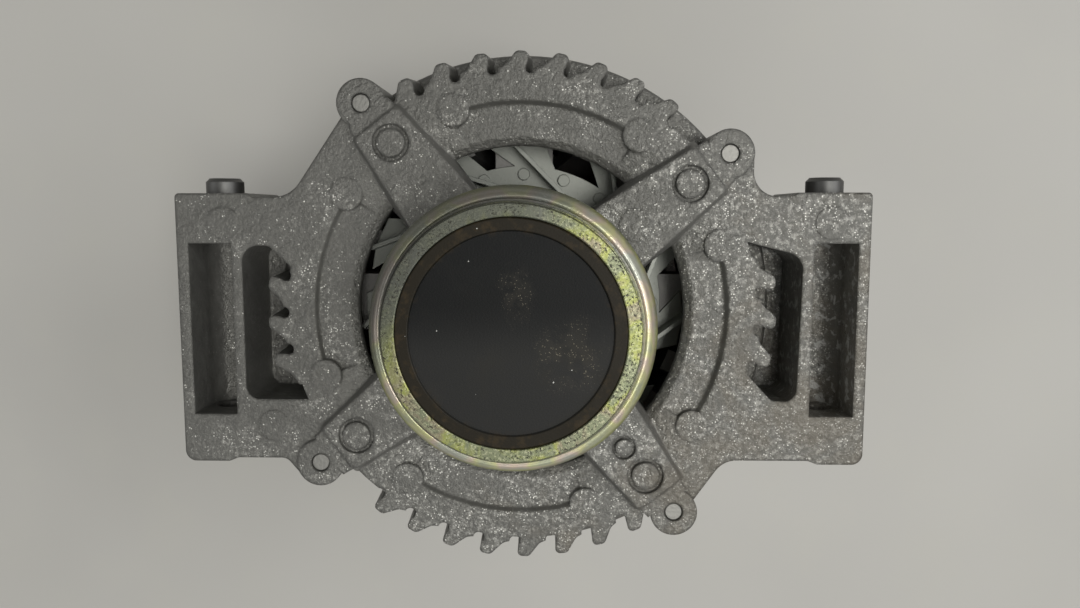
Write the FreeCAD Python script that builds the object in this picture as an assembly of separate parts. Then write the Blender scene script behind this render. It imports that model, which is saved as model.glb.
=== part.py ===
import FreeCAD, Part
import math
import os

# Belt-driven car alternator, standing on its flat rear cover with the pulley up.
# Millimetres. +Z runs along the shaft towards the pulley, +X to the right and +Y up
# when the pulley end faces the viewer. The origin is the centre of the rear rest face.
# Names: _r radius, _z height above the rest face, _drop depth below the lug plane,
# _half half of a width, _angle degrees from +X.

V = FreeCAD.Vector
ORIGIN = V(0, 0, 0)
RIGHT = V(1, 0, 0)
BACK = V(0, 1, 0)
UP = V(0, 0, 1)
over = 1.0

# Fits
press_fit = 0.02
slip_fit = 0.05
free_fit = 0.1

# Heights along the shaft
rear_face_z = 29.5
stator_rear_z = 54.0
stator_length = 36.0
nose_depth = 30.0
stator_front_z = stator_rear_z + stator_length
lug_z = stator_front_z + nose_depth

# Stator core, whose outside sets the size of the frames round it
stator_out_r = 65.5
stator_in_r = 50.6

# Through bolts that clamp the two frames on the stator
bolt_circle_r = stator_out_r + 3.5
bolt_clock = 37.2
bolt_r = 2.5
bolt_end_recess = 0.4
bolt_end_chamfer = 0.35
bolt_head_r = 4.6
bolt_head_height = 4.0
bolt_flange_r = 5.4
bolt_flange_height = 1.0
lug_r = 6.4
bolt_angles = [bolt_clock + 90.0 * k for k in range(4)]

# Rear cover's outside, which the electrics fit in, and the circle of its nuts
cover_r = 57.5
cover_nut_circle_r = cover_r - 8.0

# Drive end frame, the die casting seen in front
frame_wall = 4.8
root_r = stator_out_r - 2.2
wall_in_r = root_r - frame_wall
rim_r = stator_out_r + 5.0
rim_front_drop = 20.0
rim_shoulder_in_r = stator_out_r - 3.5
rim_round = 1.2
face_drop = 1.5
inner_face_drop = 3.0
face_step_r = root_r - 7.5
face_step_run = 1.0
face_thickness = 5.0
face_round = 0.8
window_out_r = 44.2
window_in_r = 30.0
window_bevel = 2.2
window_bevel_drop = 1.2
front_spigot = 4.0
rear_spigot = 3.5
lug_root_flare = 1.0
lug_root_reach = 3.0
hub_rise = 1.5
hub_wall_r = window_in_r + 1.0
hub_rear_r = window_in_r
hub_top_r = window_in_r - 3.0
nose_hole_r = 16.0

# Raised arms of the cross
arm_rise = 1.0
arm_end_r = root_r - 0.8
arm_end_half = 7.0
arm_end_round = 1.5
arm_hub_half = 9.6
arm_hub_r = window_in_r + 4.0
arm_start_r = 10.0
arm_flare = 1.5
window_side_flare = 0.8
arm_depth = 9.0
arm_post_r = root_r - 7.3
post_r = 3.7
post_groove = 1.2
post_groove_depth = 1.2
small_post_r = 2.3
small_post_circle_r = root_r - 17.1
small_post_groove = 0.9
small_post_arm = 3

# Pads beside the arms, and the flat round marks that the ejector pins leave
pad_half_angle = 18.8
pad_depth = 1.0
mark_r = 4.3
mark_rise = 0.25
mark_depth = 2.0
face_mark_r = face_step_r + 0.2
arm_mark_r = arm_hub_r + 4.2
arm_mark_arms = [0, 1]
ear_mark_inset = 10.3
left_ear_mark_inset = 12.9
low_ear_mark_inset = 24.9
ear_mark_y = 23.6
low_ear_mark_y = -31.8

# Saw-tooth cooling fins
fin_pitch = 9.0
fin_height = 5.0
fin_tip_r = root_r + fin_height
fin_rear_tip_r = rim_r - 0.2
fin_foot_r = root_r - 3.5
fin_draft = 0.5
fin_notch_r = 1.5
fin_notch_depth = 0.7
fin_notch_offset = 2.9
fin_sectors = [(54.0, 8), (174.0, 3), (235.0, 8), (349.0, 3)]
slot_width = 4.4
slot_offset = 0.9
slot_rear_gap = 1.5

# Mounting ears with long cross bores
ear_half_width = 92.7
ear_top_y = 31.6
ear_bottom_y = -41.8
ear_step = 1.0
ear_step_round = 0.8
ear_back_drop = 26.0
ear_web = 3.0
ear_bore_inset = 8.9
ear_bore_x = ear_half_width - ear_bore_inset
ear_bore_drop = 14.2
ear_bore_r = 4.2
ear_trough_r = 5.9
ear_trough_top_y = 18.2
ear_trough_bottom_y = -28.6
ear_rail_wall = 2.7
ear_window_x = ear_bore_x - ear_trough_r - ear_rail_wall
ear_step_x = ear_half_width - 19.7
ear_foot_x = ear_half_width - 12.2
ear_neck_x = root_r - 1.8
ear_edge_round = 1.2
ear_foot_round = 3.0

# Sliding steel sleeves in the upper ear bores
sleeve_r = 5.1
sleeve_proud = 4.3
sleeve_length = 16.5
sleeve_chamfer = 1.0

# Bearings
front_bearing_out_r = 23.5
front_bearing_in_r = 8.5
front_bearing_width = 14.0
front_bearing_drop = 4.0
rear_bearing_out_r = 17.5
rear_bearing_in_r = 7.5
rear_bearing_width = 11.0
rear_bearing_lip = 2.0
rear_bearing_z = rear_face_z + rear_bearing_lip
ball_clearance = 0.1
race_land = 0.62
front_ball_r = 4.0
rear_ball_r = 3.0
ball_count = 8
front_bearing_z = lug_z - front_bearing_drop - front_bearing_width

# Plate that holds the front bearing in its seat
retainer_thickness = 2.0
retainer_r = 29.0
retainer_in_r = 18.0
retainer_screw_circle_r = 26.0
retainer_screw_r = 2.0
retainer_head_r = 3.2
retainer_head_height = 1.6
retainer_screw_reach = 7.0
retainer_screw_clock = 45.0

# Rear frame
rear_plate = 4.5
rear_rim_z = 44.0
rear_lug_z = 41.0
rear_hub_r = 22.5
rear_hub_flare = 2.0
rear_edge = 2.0
rear_shell_in_r = 10.5
rear_bearing_lip_r = 14.5
rear_window_in_r = 25.5
rear_window_out_r = cover_nut_circle_r - 0.5
rear_window_count = 12
rear_spoke_half = 3.0
rear_slot_pitch = 9.0
rear_slot_keep_out = 10.0
cover_boss_r = 5.0
screw_boss_r = 4.5

# Stator
core_groove_count = 8
core_groove_r = 1.6
core_groove_lift = 0.4
core_groove_clock = 17.2
coil_in_r = stator_in_r + 1.2
coil_out_r = wall_in_r - 0.9
coil_height = 14.0
coil_round = 1.5
coil_lean = 1.2
lead_r = 1.3
lead_circle_r = stator_in_r + 2.9
lead_angles = [150.0, 195.0, 240.0]
lead_hole_r = 2.0
lead_tail = 5.0

# Rotor
air_gap = 0.35
rotor_r = stator_in_r - air_gap
rotor_edge = 1.5
pole_overhang = 4.0
pole_disc = 11.0
claw_count = 8
claw_root_half = 8.4
claw_tip_half = 3.2
claw_tip_gap = 2.0
claw_root_in_r = rotor_r - 11.25
claw_tip_in_r = rotor_r - 4.75
pole_disc_r = claw_root_in_r - 2.0
core_r = 20.0
bobbin_wall = 1.2
bobbin_r = claw_root_in_r - 1.5
field_coil_r = bobbin_r - 0.5
coil_fit = 0.15
pole_rear_z = stator_rear_z - pole_overhang
pole_front_z = stator_front_z + pole_overhang
rotor_mid_z = (pole_rear_z + pole_front_z) / 2

# Shaft
shaft_mid_r = 9.0
shaft_nose = 34.0
shaft_end_z = lug_z + shaft_nose
shaft_rear_z = 5.5
shaft_chamfer = 1.5
ring_shaft_r = 5.0
ring_shaft_z = rear_bearing_z - 2.0

# Fans
fan_sheet = 1.2
fan_r = rotor_r - 3.25
fan_hub_in_r = 10.0
fan_disc_r = 40.0
fan_blade_height = 9.5
fan_blade_count = 11
fan_blade_in_r = 34.0
fan_blade_sweep = 24.0
fan_blade_foot = 9.0
fan_blade_belly = 0.55
fan_blade_stagger = 4.0
fan_corner_drop = 1.0
fan_dimple_circle_r = 37.5
fan_dimple_count = 20
fan_dimple_r = 1.7
fan_dimple_height = 0.9
rear_fan_clock = 10.0

# Slip rings
slip_r = 7.4
slip_width = 5.0
slip_z = [8.0, 16.0]
slip_bore_r = 5.9
slip_collar_r = 8.0
slip_collar = 1.5
slip_sleeve_front_z = rear_bearing_z - 3.0

# Brush gear
brush_height = 4.0
brush_half_width = 3.0
brush_length = 13.0
brush_gap = 0.1
brush_side_gap = 0.15
brush_spring_r = 1.7
brush_spring_wire = 0.28
brush_spring_turns = 6
brush_spring_gap = 0.2
holder_end_x = 34.0
holder_end_wall = 1.8
holder_half_y = 6.5
holder_rear_z = 5.4
holder_front_z = 24.0
holder_nose_x = 10.5
holder_round = 1.0

# Regulator and plug socket
socket_x = 21.0
socket_proud = 13.5
socket_reach = cover_r + socket_proud
socket_depth = 14.0
socket_half_width = 9.5
socket_half_height = 6.5
socket_wall = 1.8
socket_z = 15.0
socket_gap = 0.3
latch_half = 3.0
latch_start = 9.0
latch_end = 4.0
latch_rise = 1.6
pin_count = 4
pin_length = 9.0
pin_pitch = 3.6
pin_half_width = 0.8
pin_half_thickness = 0.3
regulator_end_y = cover_r - 17.5
regulator_rear_z = 9.4
regulator_fin_count = 4
regulator_fin_pitch = 5.0
regulator_fin_width = 1.6
regulator_fin_x = 18.0
regulator_fin_y = 8.5
regulator_fin_end_y = 28.0

# Rectifier
rectifier_screw_circle_r = cover_r - 9.5
moulding_out_r = rectifier_screw_circle_r - 2.5
moulding_in_r = moulding_out_r - 6.0
diode_circle_r = moulding_in_r - 8.5
sink_in_r = diode_circle_r - 9.0
sink_out_r = cover_r - 6.0
sink_thickness = 3.0
sink_start = 100.0
sink_sweep = 225.0
positive_sink_z = 13.5
sink_hole_r = 4.5
moulding_inset = 3.0
moulding_post_r = 4.2
lead_eye_half = 3.0
lead_eye_lift = 2.5
lead_eye_height = 4.0
lead_eye_rim = 1.0
diode_r = 5.4
diode_height = 4.8
diode_count = 6
diode_inset = 15.0
rectifier_screw_r = 2.0
rectifier_head_r = 3.4
rectifier_head_height = 2.4
rectifier_screw_reach = 4.0
rectifier_screw_angles = [118.0, 205.0, 307.0]
negative_sink_z = rear_face_z - sink_thickness

# Output stud
stud_r = 4.0
stud_start_y = cover_r - 13.5
stud_end_y = cover_r + 24.5
stud_chamfer = 1.0
stud_z = 9.0
stud_foot_half = 6.0
stud_foot_in_y = stud_start_y - 4.0
stud_foot_out_y = stud_start_y + 3.0
stud_foot_height = 6.0
bush_r = 7.4
bush_depth = 3.0
bush_rise = 4.0
bush_seat = 0.4
stud_nut_r = 7.4
stud_nut_flange_r = 8.5
bush_collar_r = stud_nut_flange_r + 0.2
stud_nut_flange = 1.6
stud_nut_height = 7.0

# Rear cover
cover_wall = 1.6
cover_corner = 4.0
cover_slot_count = 24
cover_slot_in_r = 24.0
cover_slot_out_r = 41.0
cover_slot_in_half = 1.6
cover_slot_out_half = 2.4
cover_hole_count = 6
cover_hole_r = 2.2
cover_hole_circle_r = 12.5
cover_nut_angles = [15.0, 130.0, 222.0]
well_r = 6.5
well_wall = 1.4
well_depth = 8.0
cover_stud_r = 2.5
cover_stud_rear_z = 2.0
cover_nut_r = 4.4
cover_nut_height = 4.2
cover_nut_flange_r = 5.4
cover_nut_flange = 1.0

# Overrunning pulley
pulley_gap = 6.0
pulley_flange_rise = 30.0
pulley_length = 37.0
pulley_rear_z = lug_z + pulley_gap
pulley_flange_z = pulley_rear_z + pulley_flange_rise
pulley_front_z = pulley_rear_z + pulley_length
pulley_flange_r = 32.6
pulley_rear_flange_r = pulley_flange_r - 0.6
pulley_flange_width = 1.8
pulley_lip_rise = 1.6
pulley_lip_r = pulley_flange_r - 1.1
pulley_rib_r = pulley_flange_r - 2.0
pulley_rib_depth = 2.6
pulley_rib_pitch = 3.56
pulley_rib_count = 6
rib_crest = 0.2
rib_crest_drop = 0.3
rib_valley = 0.05
collar_r = pulley_flange_r - 4.0
collar_groove = 0.9
collar_groove_depth = 2.2
collar_shoulder = 1.2
pulley_bore_r = 18.6
cap_r = collar_r - 3.1
cap_seat_depth = 5.0
cap_seat_r = pulley_bore_r + 2.0
cap_lead_in = 2.0
cap_drop = 0.6
cap_thickness = 1.8
cap_skirt = 1.6
cap_rim_width = 2.8
cap_rim_rise = 0.5

# Clutch inside the pulley
hub_r = 13.4
hub_rear_z = pulley_rear_z - 2.4
hub_collar_r = 14.5
hub_front_z = pulley_front_z - 6.0
hub_bore_r = 9.5
hub_chamfer = 1.0
hub_step = 0.5
hub_tooth_count = 12
hub_tooth_r = 10.3
hub_tooth_half = 0.7
collar_out_r = 14.0
roller_r = 1.5
roller_count = 16
roller_length = 8.5
clutch_sleeve_in_r = hub_r + 2 * roller_r + 0.3
clutch_sleeve_side = 1.2
liner_width = 7.5
liner_inset = 1.2
rear_liner_z = pulley_rear_z + hub_chamfer + liner_inset
front_liner_z = hub_front_z - liner_inset - liner_width
clutch_mid_z = (rear_liner_z + liner_width + front_liner_z) / 2


def outline(points):
    """Closed wire through (x, y, z, corner radius) points; a corner radius of 0 stays sharp."""
    count = len(points)
    corners = []
    for i, (x, y, z, radius) in enumerate(points):
        here = V(x, y, z)
        before = V(*points[i - 1][:3]) - here
        after = V(*points[(i + 1) % count][:3]) - here
        if radius <= 0:
            corners.append((here, here, None))
            continue
        before.normalize()
        after.normalize()
        half = before.getAngle(after) / 2
        reach = radius / math.tan(half)
        middle = (before + after).normalize()
        centre = here + middle * (radius / math.sin(half))
        corners.append((here + before * reach, here + after * reach, centre - middle * radius))
    edges = []
    for i, (start, end, bulge) in enumerate(corners):
        if bulge is not None:
            edges.append(Part.Arc(start, bulge, end).toShape())
        following = corners[(i + 1) % count][0]
        if (following - end).Length > 1e-6:
            edges.append(Part.LineSegment(end, following).toShape())
    return Part.Wire(edges)


def corner(point):
    """Corner radius of an (a, b) or (a, b, radius) point."""
    return point[2] if len(point) > 2 else 0


def flat_outline(points, z):
    """Outline at one height from (x, y) or (x, y, radius) points."""
    return outline([(p[0], p[1], z, corner(p)) for p in points])


def prism(points, z0, z1):
    """Upright solid from z0 to z1 on a rounded outline."""
    return Part.Face(flat_outline(points, z0)).extrude(V(0, 0, z1 - z0))


def tapered(points0, z0, points1, z1):
    """Solid between two outlines with equal corners, for cast draft."""
    return Part.makeLoft([flat_outline(points0, z0), flat_outline(points1, z1)], True, True)


def box(x0, x1, y0, y1, z0, z1):
    return Part.makeBox(x1 - x0, y1 - y0, z1 - z0, V(x0, y0, z0))


def rod(radius, z0, z1, x=0.0, y=0.0):
    return Part.makeCylinder(radius, z1 - z0, V(x, y, z0), UP)


def turned(points, sweep=360.0):
    """Solid of revolution about the shaft from (radius, height, corner radius) points."""
    profile = outline([(p[0], 0, p[1], corner(p)) for p in points])
    return Part.Face(profile).revolve(ORIGIN, UP, sweep)


def ring(r_out, r_in, z0, z1, sweep=360.0):
    return turned([(r_in, z0), (r_out, z0), (r_out, z1), (r_in, z1)], sweep)


def hexagon(radius, z0, z1):
    return prism([polar(radius, 60.0 * k) for k in range(6)], z0, z1)


def spun(shape, angle):
    """Copy turned about the shaft."""
    copy = shape.copy()
    copy.rotate(ORIGIN, UP, angle)
    return copy


def spun_all(shape, angles):
    return [spun(shape, angle) for angle in angles]


def evenly(count, start=0.0):
    """Angles of a full circle of equal steps."""
    return [start + 360.0 / count * k for k in range(count)]


def polar(radius, angle):
    return radius * math.cos(math.radians(angle)), radius * math.sin(math.radians(angle))


def rods(radius, z0, z1, circle_r, angles):
    """One upright rod at each angle of a circle about the shaft."""
    return [rod(radius, z0, z1, *polar(circle_r, angle)) for angle in angles]


def joined(shapes):
    return shapes[0].multiFuse(shapes[1:]).removeSplitter()


def save(node, *solids):
    """Write one node; several solids are kept apart in one file."""
    shape = solids[0] if len(solids) == 1 else Part.makeCompound(list(solids))
    shape.exportStep("parts/%s.step" % node)
    print("%-26s solids %2d faces %4d volume %10.1f valid %s" % (
        node, len(shape.Solids), len(shape.Faces), shape.Volume, shape.isValid()))


# Drive end frame

def arm_outline(extra):
    """Trapezoid of one arm along +X, from inside the hub to the lug's step."""
    hub = arm_hub_half + extra
    end = arm_end_half + extra
    reach = arm_end_r + extra
    return [(arm_start_r, -hub), (arm_hub_r, -hub), (reach, -end, arm_end_round),
            (reach, end, arm_end_round), (arm_hub_r, hub), (arm_start_r, hub)]


def arms():
    pad = tapered(arm_outline(arm_flare), lug_z - inner_face_drop, arm_outline(0), lug_z + arm_rise)
    web = prism(arm_outline(arm_flare), lug_z - arm_depth, lug_z - inner_face_drop)
    return [spun(s, a) for a in bolt_angles for s in (pad, web)]


def fin_profile(tip, draft):
    """Hooked tooth along +X: steep flank clockwise, long hollow slope the other way."""
    return [(fin_foot_r, 7.2 + draft), (root_r + 0.1, 7.2 + draft), (root_r + 1.3, 4.0 + draft, 3.0),
            (tip + 0.2, 0.9 + draft, 1.6), (tip - 0.1, -2.5 - draft, 1.3),
            (root_r + 0.6, -1.5 - draft, 0.6), (fin_foot_r, -1.5 - draft)]


def fin():
    return tapered(fin_profile(fin_rear_tip_r, fin_draft), lug_z - rim_front_drop - over,
                   fin_profile(fin_tip_r, 0.0), lug_z - face_drop)


def fin_notch():
    """Round valley at the foot of a tooth's steep flank."""
    return rod(fin_notch_r, lug_z - rim_front_drop, lug_z + over,
               root_r + fin_notch_r - fin_notch_depth, -fin_notch_offset)


def fin_angles():
    return [start + fin_pitch * k for start, count in fin_sectors for k in range(count)]


def ear_outline(side):
    """Outline of one ear from its outer wall in to the round of the frame; side is 1 right, -1 left."""
    inner_top = ear_top_y - ear_step
    inner_bottom = ear_bottom_y + ear_step
    wall_top = [(side * ear_half_width, ear_top_y, ear_edge_round),
                (side * ear_step_x, ear_top_y, ear_step_round),
                (side * (ear_step_x - 1.0), inner_top, ear_step_round)]
    wall_foot = [(side * (ear_foot_x - 2.5), inner_bottom, 1.5), (side * ear_foot_x, ear_bottom_y, 1.5),
                 (side * ear_half_width, ear_bottom_y, ear_foot_round)]
    room = ear_step_x - 1.0 - ear_step_round - ear_neck_x
    if side > 0:
        body = [(ear_neck_x, inner_top, min(6.5, room)), (ear_neck_x, 42.0), (46.0, 42.0),
                (40.0, 0.0), (38.0, -48.0), (46.9, -52.5), (55.2, inner_bottom, 7.0)]
    else:
        body = [(-ear_neck_x, inner_top, min(8.5, room)), (-47.0, 51.8), (-38.0, 46.0),
                (-40.0, 0.0), (-46.0, -42.0), (-60.9, -45.2), (-64.6, inner_bottom, 3.0)]
    return wall_top + body + wall_foot


def ear_window(side):
    """Pocket between the ear's rail and the fins, which a web closes at the back."""
    inside = wall_in_r - 3.5
    span = ear_window_x - root_r
    if side > 0:
        return [(inside, 18.6), (root_r - 2.9, 18.6, 0.8), (ear_window_x, 14.8, 0.4 * span),
                (ear_window_x - 0.07 * span, -24.8, 0.3 * span),
                (ear_window_x - 0.64 * span, -24.2, 0.17 * span),
                (root_r - 2.7, -16.6, 1.0), (inside, -16.6)]
    return [(-inside, 12.0), (-root_r + 1.3, 12.0, 0.8), (-ear_window_x + 0.62 * span, 17.6, 0.25 * span),
            (-ear_window_x, 17.6, 0.37 * span), (-ear_window_x, -24.4, 0.3 * span), (-inside, -24.4)]


def ear(side):
    back = lug_z - ear_back_drop
    slab = prism(ear_outline(side), back, lug_z - face_drop)
    slab = slab.cut(rod(wall_in_r, back - over, lug_z + over))
    return slab.cut(prism(ear_window(side), back + ear_web, lug_z + over))


def along_ear(side, radius, y0, y1):
    """Cylinder on the ear's bore axis."""
    return Part.makeCylinder(radius, y1 - y0, V(side * ear_bore_x, y0, lug_z - ear_bore_drop), BACK)


def trough(side):
    """Half-round channel that opens the middle of the cross bore to the front."""
    x = side * ear_bore_x
    floor = along_ear(side, ear_trough_r, ear_trough_bottom_y, ear_trough_top_y)
    mouth = box(x - ear_trough_r, x + ear_trough_r, ear_trough_bottom_y, ear_trough_top_y,
                lug_z - ear_bore_drop, lug_z + over)
    return floor.fuse(mouth)


def cross_bore(side):
    """Bolt bore along the ear, stepped up at the top for the sliding sleeve."""
    bolt = along_ear(side, ear_bore_r, ear_bottom_y - over, ear_top_y + over)
    seat = along_ear(side, sleeve_r + slip_fit, ear_trough_top_y - over, ear_top_y + over)
    return bolt.fuse(seat)


def post_groove_cut(circle_r, radius, width):
    """Ring groove that leaves a round post standing on an arm."""
    top = lug_z + arm_rise
    groove = ring(radius + width, radius, top - post_groove_depth, top + over)
    groove.translate(V(circle_r, 0, 0))
    return groove


def post_grooves():
    big = post_groove_cut(arm_post_r, post_r, post_groove)
    small = post_groove_cut(small_post_circle_r, small_post_r, small_post_groove)
    return spun_all(big, bolt_angles) + [spun(small, bolt_angles[small_post_arm])]


def intake_windows():
    """Four openings between the arms, outside the bearing hub."""
    z0, z1 = lug_z - arm_depth - over, lug_z + arm_rise + over
    half = arm_hub_half + window_side_flare
    bar = box(0, root_r, -half, half, z0 - over, z1 + over)
    return ring(window_out_r, window_in_r, z0, z1).cut(spun_all(bar, bolt_angles))


def face_plate(back):
    """Dished front wall with its step and the bevelled rim of the windows."""
    inner_r = window_in_r - 8.0
    face, dish = lug_z - face_drop, lug_z - inner_face_drop
    bevel = dish - window_bevel_drop
    return turned([(inner_r, back), (root_r, back), (root_r, face, face_round), (face_step_r, face, 0.5),
                   (face_step_r - face_step_run, dish, 0.5),
                   (window_out_r + window_bevel, dish, face_round),
                   (window_out_r, bevel), (window_in_r, bevel), (inner_r, dish)])


def face_pads():
    """Sloping sectors that lift the dished wall up to the outer face beside each arm."""
    face, dish, inner_r = lug_z - face_drop, lug_z - inner_face_drop, window_out_r + window_bevel
    foot, out_r = dish - pad_depth, face_step_r + 0.5
    pad = turned([(inner_r, foot), (out_r, foot), (out_r, face), (face_step_r - face_step_run, face),
                  (inner_r, dish)], 2 * pad_half_angle)
    return spun_all(pad, [angle - pad_half_angle for angle in bolt_angles])


def ejector_marks():
    """Low round discs on the face, on two arms and on the ears."""
    face, arm = lug_z - face_drop, lug_z + arm_rise
    sides = [angle + way * pad_half_angle for angle in bolt_angles for way in (-1, 1)]
    ear_marks = [(ear_half_width - ear_mark_inset, ear_mark_y),
                 (left_ear_mark_inset - ear_half_width, ear_mark_y),
                 (low_ear_mark_inset - ear_half_width, low_ear_mark_y)]
    marked_arms = [bolt_angles[k] for k in arm_mark_arms]
    return (rods(mark_r, face - mark_depth, face + mark_rise, face_mark_r, sides)
            + rods(mark_r, arm - mark_depth, arm + mark_rise, arm_mark_r, marked_arms)
            + [rod(mark_r, face - mark_depth, face + mark_rise, x, y) for x, y in ear_marks])


def frame_rim():
    """Stout ring behind the fins that holds the stator."""
    seat_r = stator_out_r + slip_fit
    front = lug_z - rim_front_drop
    return turned([(rim_shoulder_in_r, stator_front_z), (seat_r, stator_front_z),
                   (seat_r, stator_front_z - front_spigot), (rim_r, stator_front_z - front_spigot),
                   (rim_r, front, rim_round), (wall_in_r, front), (wall_in_r, stator_front_z + 3.0),
                   (rim_shoulder_in_r, stator_front_z + 1.0)])


def bearing_hub():
    bore = front_bearing_out_r + press_fit
    top = lug_z + hub_rise
    return turned([(bore, front_bearing_z), (hub_rear_r, front_bearing_z),
                   (hub_wall_r, lug_z - arm_depth), (hub_wall_r, lug_z - 1.0), (hub_top_r, top, 1.0),
                   (nose_hole_r, top, 0.6), (nose_hole_r, lug_z - front_bearing_drop),
                   (bore, lug_z - front_bearing_drop)])


def lugs():
    column = rod(lug_r, stator_front_z - front_spigot, lug_z, bolt_circle_r)
    flare = lug_r + lug_root_flare
    reach = bolt_circle_r - lug_root_reach
    root = prism([(wall_in_r, -flare), (reach, -lug_r), (reach, lug_r), (wall_in_r, flare)],
                 stator_front_z, lug_z)
    return spun_all(column, bolt_angles) + spun_all(root, bolt_angles)


def drive_end_frame():
    back = lug_z - face_drop - face_thickness
    wall = ring(root_r - 0.3, wall_in_r, stator_front_z, back + over)
    slot = box(wall_in_r - over, root_r - over, -slot_width - slot_offset, -slot_offset,
               lug_z - rim_front_drop + slot_rear_gap, back - 0.8)
    shell = joined([face_plate(back), frame_rim(), bearing_hub(), wall.cut(spun_all(slot, fin_angles()))]
                   + arms() + lugs() + spun_all(fin(), fin_angles()) + face_pads()
                   + [ear(1), ear(-1)] + ejector_marks())
    skirt_z = stator_front_z - front_spigot - over
    seat_z = lug_z - front_bearing_drop
    screw_angles = [a + retainer_screw_clock for a in bolt_angles]
    cuts = [trough(1), trough(-1), cross_bore(1), cross_bore(-1), intake_windows(),
            rod(stator_out_r + slip_fit, skirt_z, stator_front_z),
            rod(front_bearing_out_r + press_fit, front_bearing_z - over, seat_z),
            rod(nose_hole_r, seat_z - over, lug_z + hub_rise + over)]
    cuts += rods(bolt_r + slip_fit, skirt_z, lug_z + over, bolt_circle_r, bolt_angles)
    cuts += rods(retainer_screw_r + press_fit, front_bearing_z - over,
                 front_bearing_z + retainer_screw_reach, retainer_screw_circle_r, screw_angles)
    cuts += spun_all(fin_notch(), fin_angles())
    return shell.cut(cuts + post_grooves())


def through_bolts():
    """Four long clamp bolts: heads behind the rear frame, chamfered ends just below the lugs' faces."""
    end_z = lug_z - bolt_end_recess
    flange_z = rear_lug_z - bolt_flange_height
    shank = turned([(0, rear_lug_z), (bolt_r, rear_lug_z), (bolt_r, end_z - bolt_end_chamfer),
                    (bolt_r - bolt_end_chamfer, end_z), (0, end_z)])
    bolt = joined([shank, rod(bolt_flange_r, flange_z, rear_lug_z),
                   hexagon(bolt_head_r, flange_z - bolt_head_height, flange_z)])
    bolt.translate(V(bolt_circle_r, 0, 0))
    return spun_all(bolt, bolt_angles)


def slide_sleeve(side):
    """Steel bush, free to slide along the ear when the long bolt pulls it onto a bracket."""
    top = ear_top_y + sleeve_proud
    foot = top - sleeve_length
    bush = turned([(ear_bore_r, foot), (sleeve_r, foot), (sleeve_r, top - sleeve_chamfer),
                   (sleeve_r - sleeve_chamfer, top), (ear_bore_r, top)])
    bush.rotate(ORIGIN, RIGHT, -90)
    bush.translate(V(side * ear_bore_x, 0, lug_z - ear_bore_drop))
    return bush


# Rear frame

def rear_shell(inner):
    seat_r = stator_out_r + slip_fit
    rim_top = stator_rear_z + rear_spigot
    hub_top = rear_bearing_z + rear_bearing_width
    return turned([(rear_shell_in_r, rear_face_z), (root_r - rear_edge, rear_face_z),
                   (root_r, rear_face_z + rear_edge), (root_r, rear_rim_z),
                   (rim_r, rear_rim_z + rear_edge, 1.0), (rim_r, rim_top), (seat_r, rim_top),
                   (seat_r, stator_rear_z), (rim_shoulder_in_r, stator_rear_z),
                   (wall_in_r, stator_rear_z - 3.0), (wall_in_r, inner),
                   (rear_hub_r + rear_hub_flare, inner), (rear_hub_r, inner + rear_hub_flare),
                   (rear_hub_r, hub_top), (rear_shell_in_r, hub_top)])


def rear_slot_angles():
    """Angles of the wall's slots, left out near the clamp bolts."""
    angles = []
    for k in range(int(360 / rear_slot_pitch)):
        angle = rear_slot_pitch * k
        nearest = min(abs((angle - bolt + 180) % 360 - 180) for bolt in bolt_angles)
        if nearest > rear_slot_keep_out:
            angles.append(angle)
    return angles


def rear_windows(inner):
    spoke = box(0, root_r, -rear_spoke_half, rear_spoke_half, rear_face_z - 2 * over, inner + 2 * over)
    spokes = spun_all(spoke, evenly(rear_window_count))
    return ring(rear_window_out_r, rear_window_in_r, rear_face_z - over, inner + over).cut(spokes)


def rear_frame():
    inner = rear_face_z + rear_plate
    rim_top = stator_rear_z + rear_spigot
    slot = box(wall_in_r - over, root_r + over, -slot_width / 2, slot_width / 2,
               inner + 1.5, rear_rim_z - 1.0)
    column = rod(lug_r, rear_lug_z, rim_top, bolt_circle_r)
    root = box(root_r - 2.0, bolt_circle_r, -lug_r, lug_r, rear_lug_z, stator_rear_z)
    shell = rear_shell(inner).cut([rear_windows(inner)] + spun_all(slot, rear_slot_angles()))
    frame = joined([shell] + spun_all(column, bolt_angles) + spun_all(root, bolt_angles)
                   + rods(cover_boss_r, rear_face_z, inner, cover_nut_circle_r, cover_nut_angles)
                   + rods(screw_boss_r, rear_face_z, inner, rectifier_screw_circle_r,
                          rectifier_screw_angles))
    z0, z1 = rear_face_z - over, inner + over
    cuts = [rod(stator_out_r + slip_fit, stator_rear_z, rim_top + over),
            rod(rear_bearing_out_r + press_fit, rear_bearing_z,
                rear_bearing_z + rear_bearing_width + over),
            rod(rear_bearing_lip_r, rear_face_z - over, rear_bearing_z + over)]
    cuts += rods(bolt_r + slip_fit, rear_lug_z - over, rim_top + over, bolt_circle_r, bolt_angles)
    cuts += rods(cover_stud_r + press_fit, z0, z1, cover_nut_circle_r, cover_nut_angles)
    cuts += rods(lead_hole_r, z0, z1, lead_circle_r, lead_angles)
    cuts += rods(rectifier_screw_r + press_fit, z0, z1, rectifier_screw_circle_r, rectifier_screw_angles)
    return frame.cut(cuts)


# Stator

def stator_core():
    core = ring(stator_out_r, stator_in_r, stator_rear_z, stator_front_z)
    return core.cut(rods(core_groove_r, stator_rear_z - over, stator_front_z + over,
                         stator_out_r + core_groove_lift, evenly(core_groove_count, core_groove_clock)))


def end_winding(z_root, direction):
    """Crown of bent bars on one face of the core, with a rounded top."""
    top = z_root + direction * coil_height
    lean = direction * coil_lean
    return turned([(coil_in_r, z_root), (coil_out_r, z_root), (coil_out_r, top - lean, coil_round),
                   (coil_out_r - 1.5, top, 1.0), (coil_in_r + 0.8, top, 1.0),
                   (coil_in_r, top - 2 * lean, 1.0)])


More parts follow.
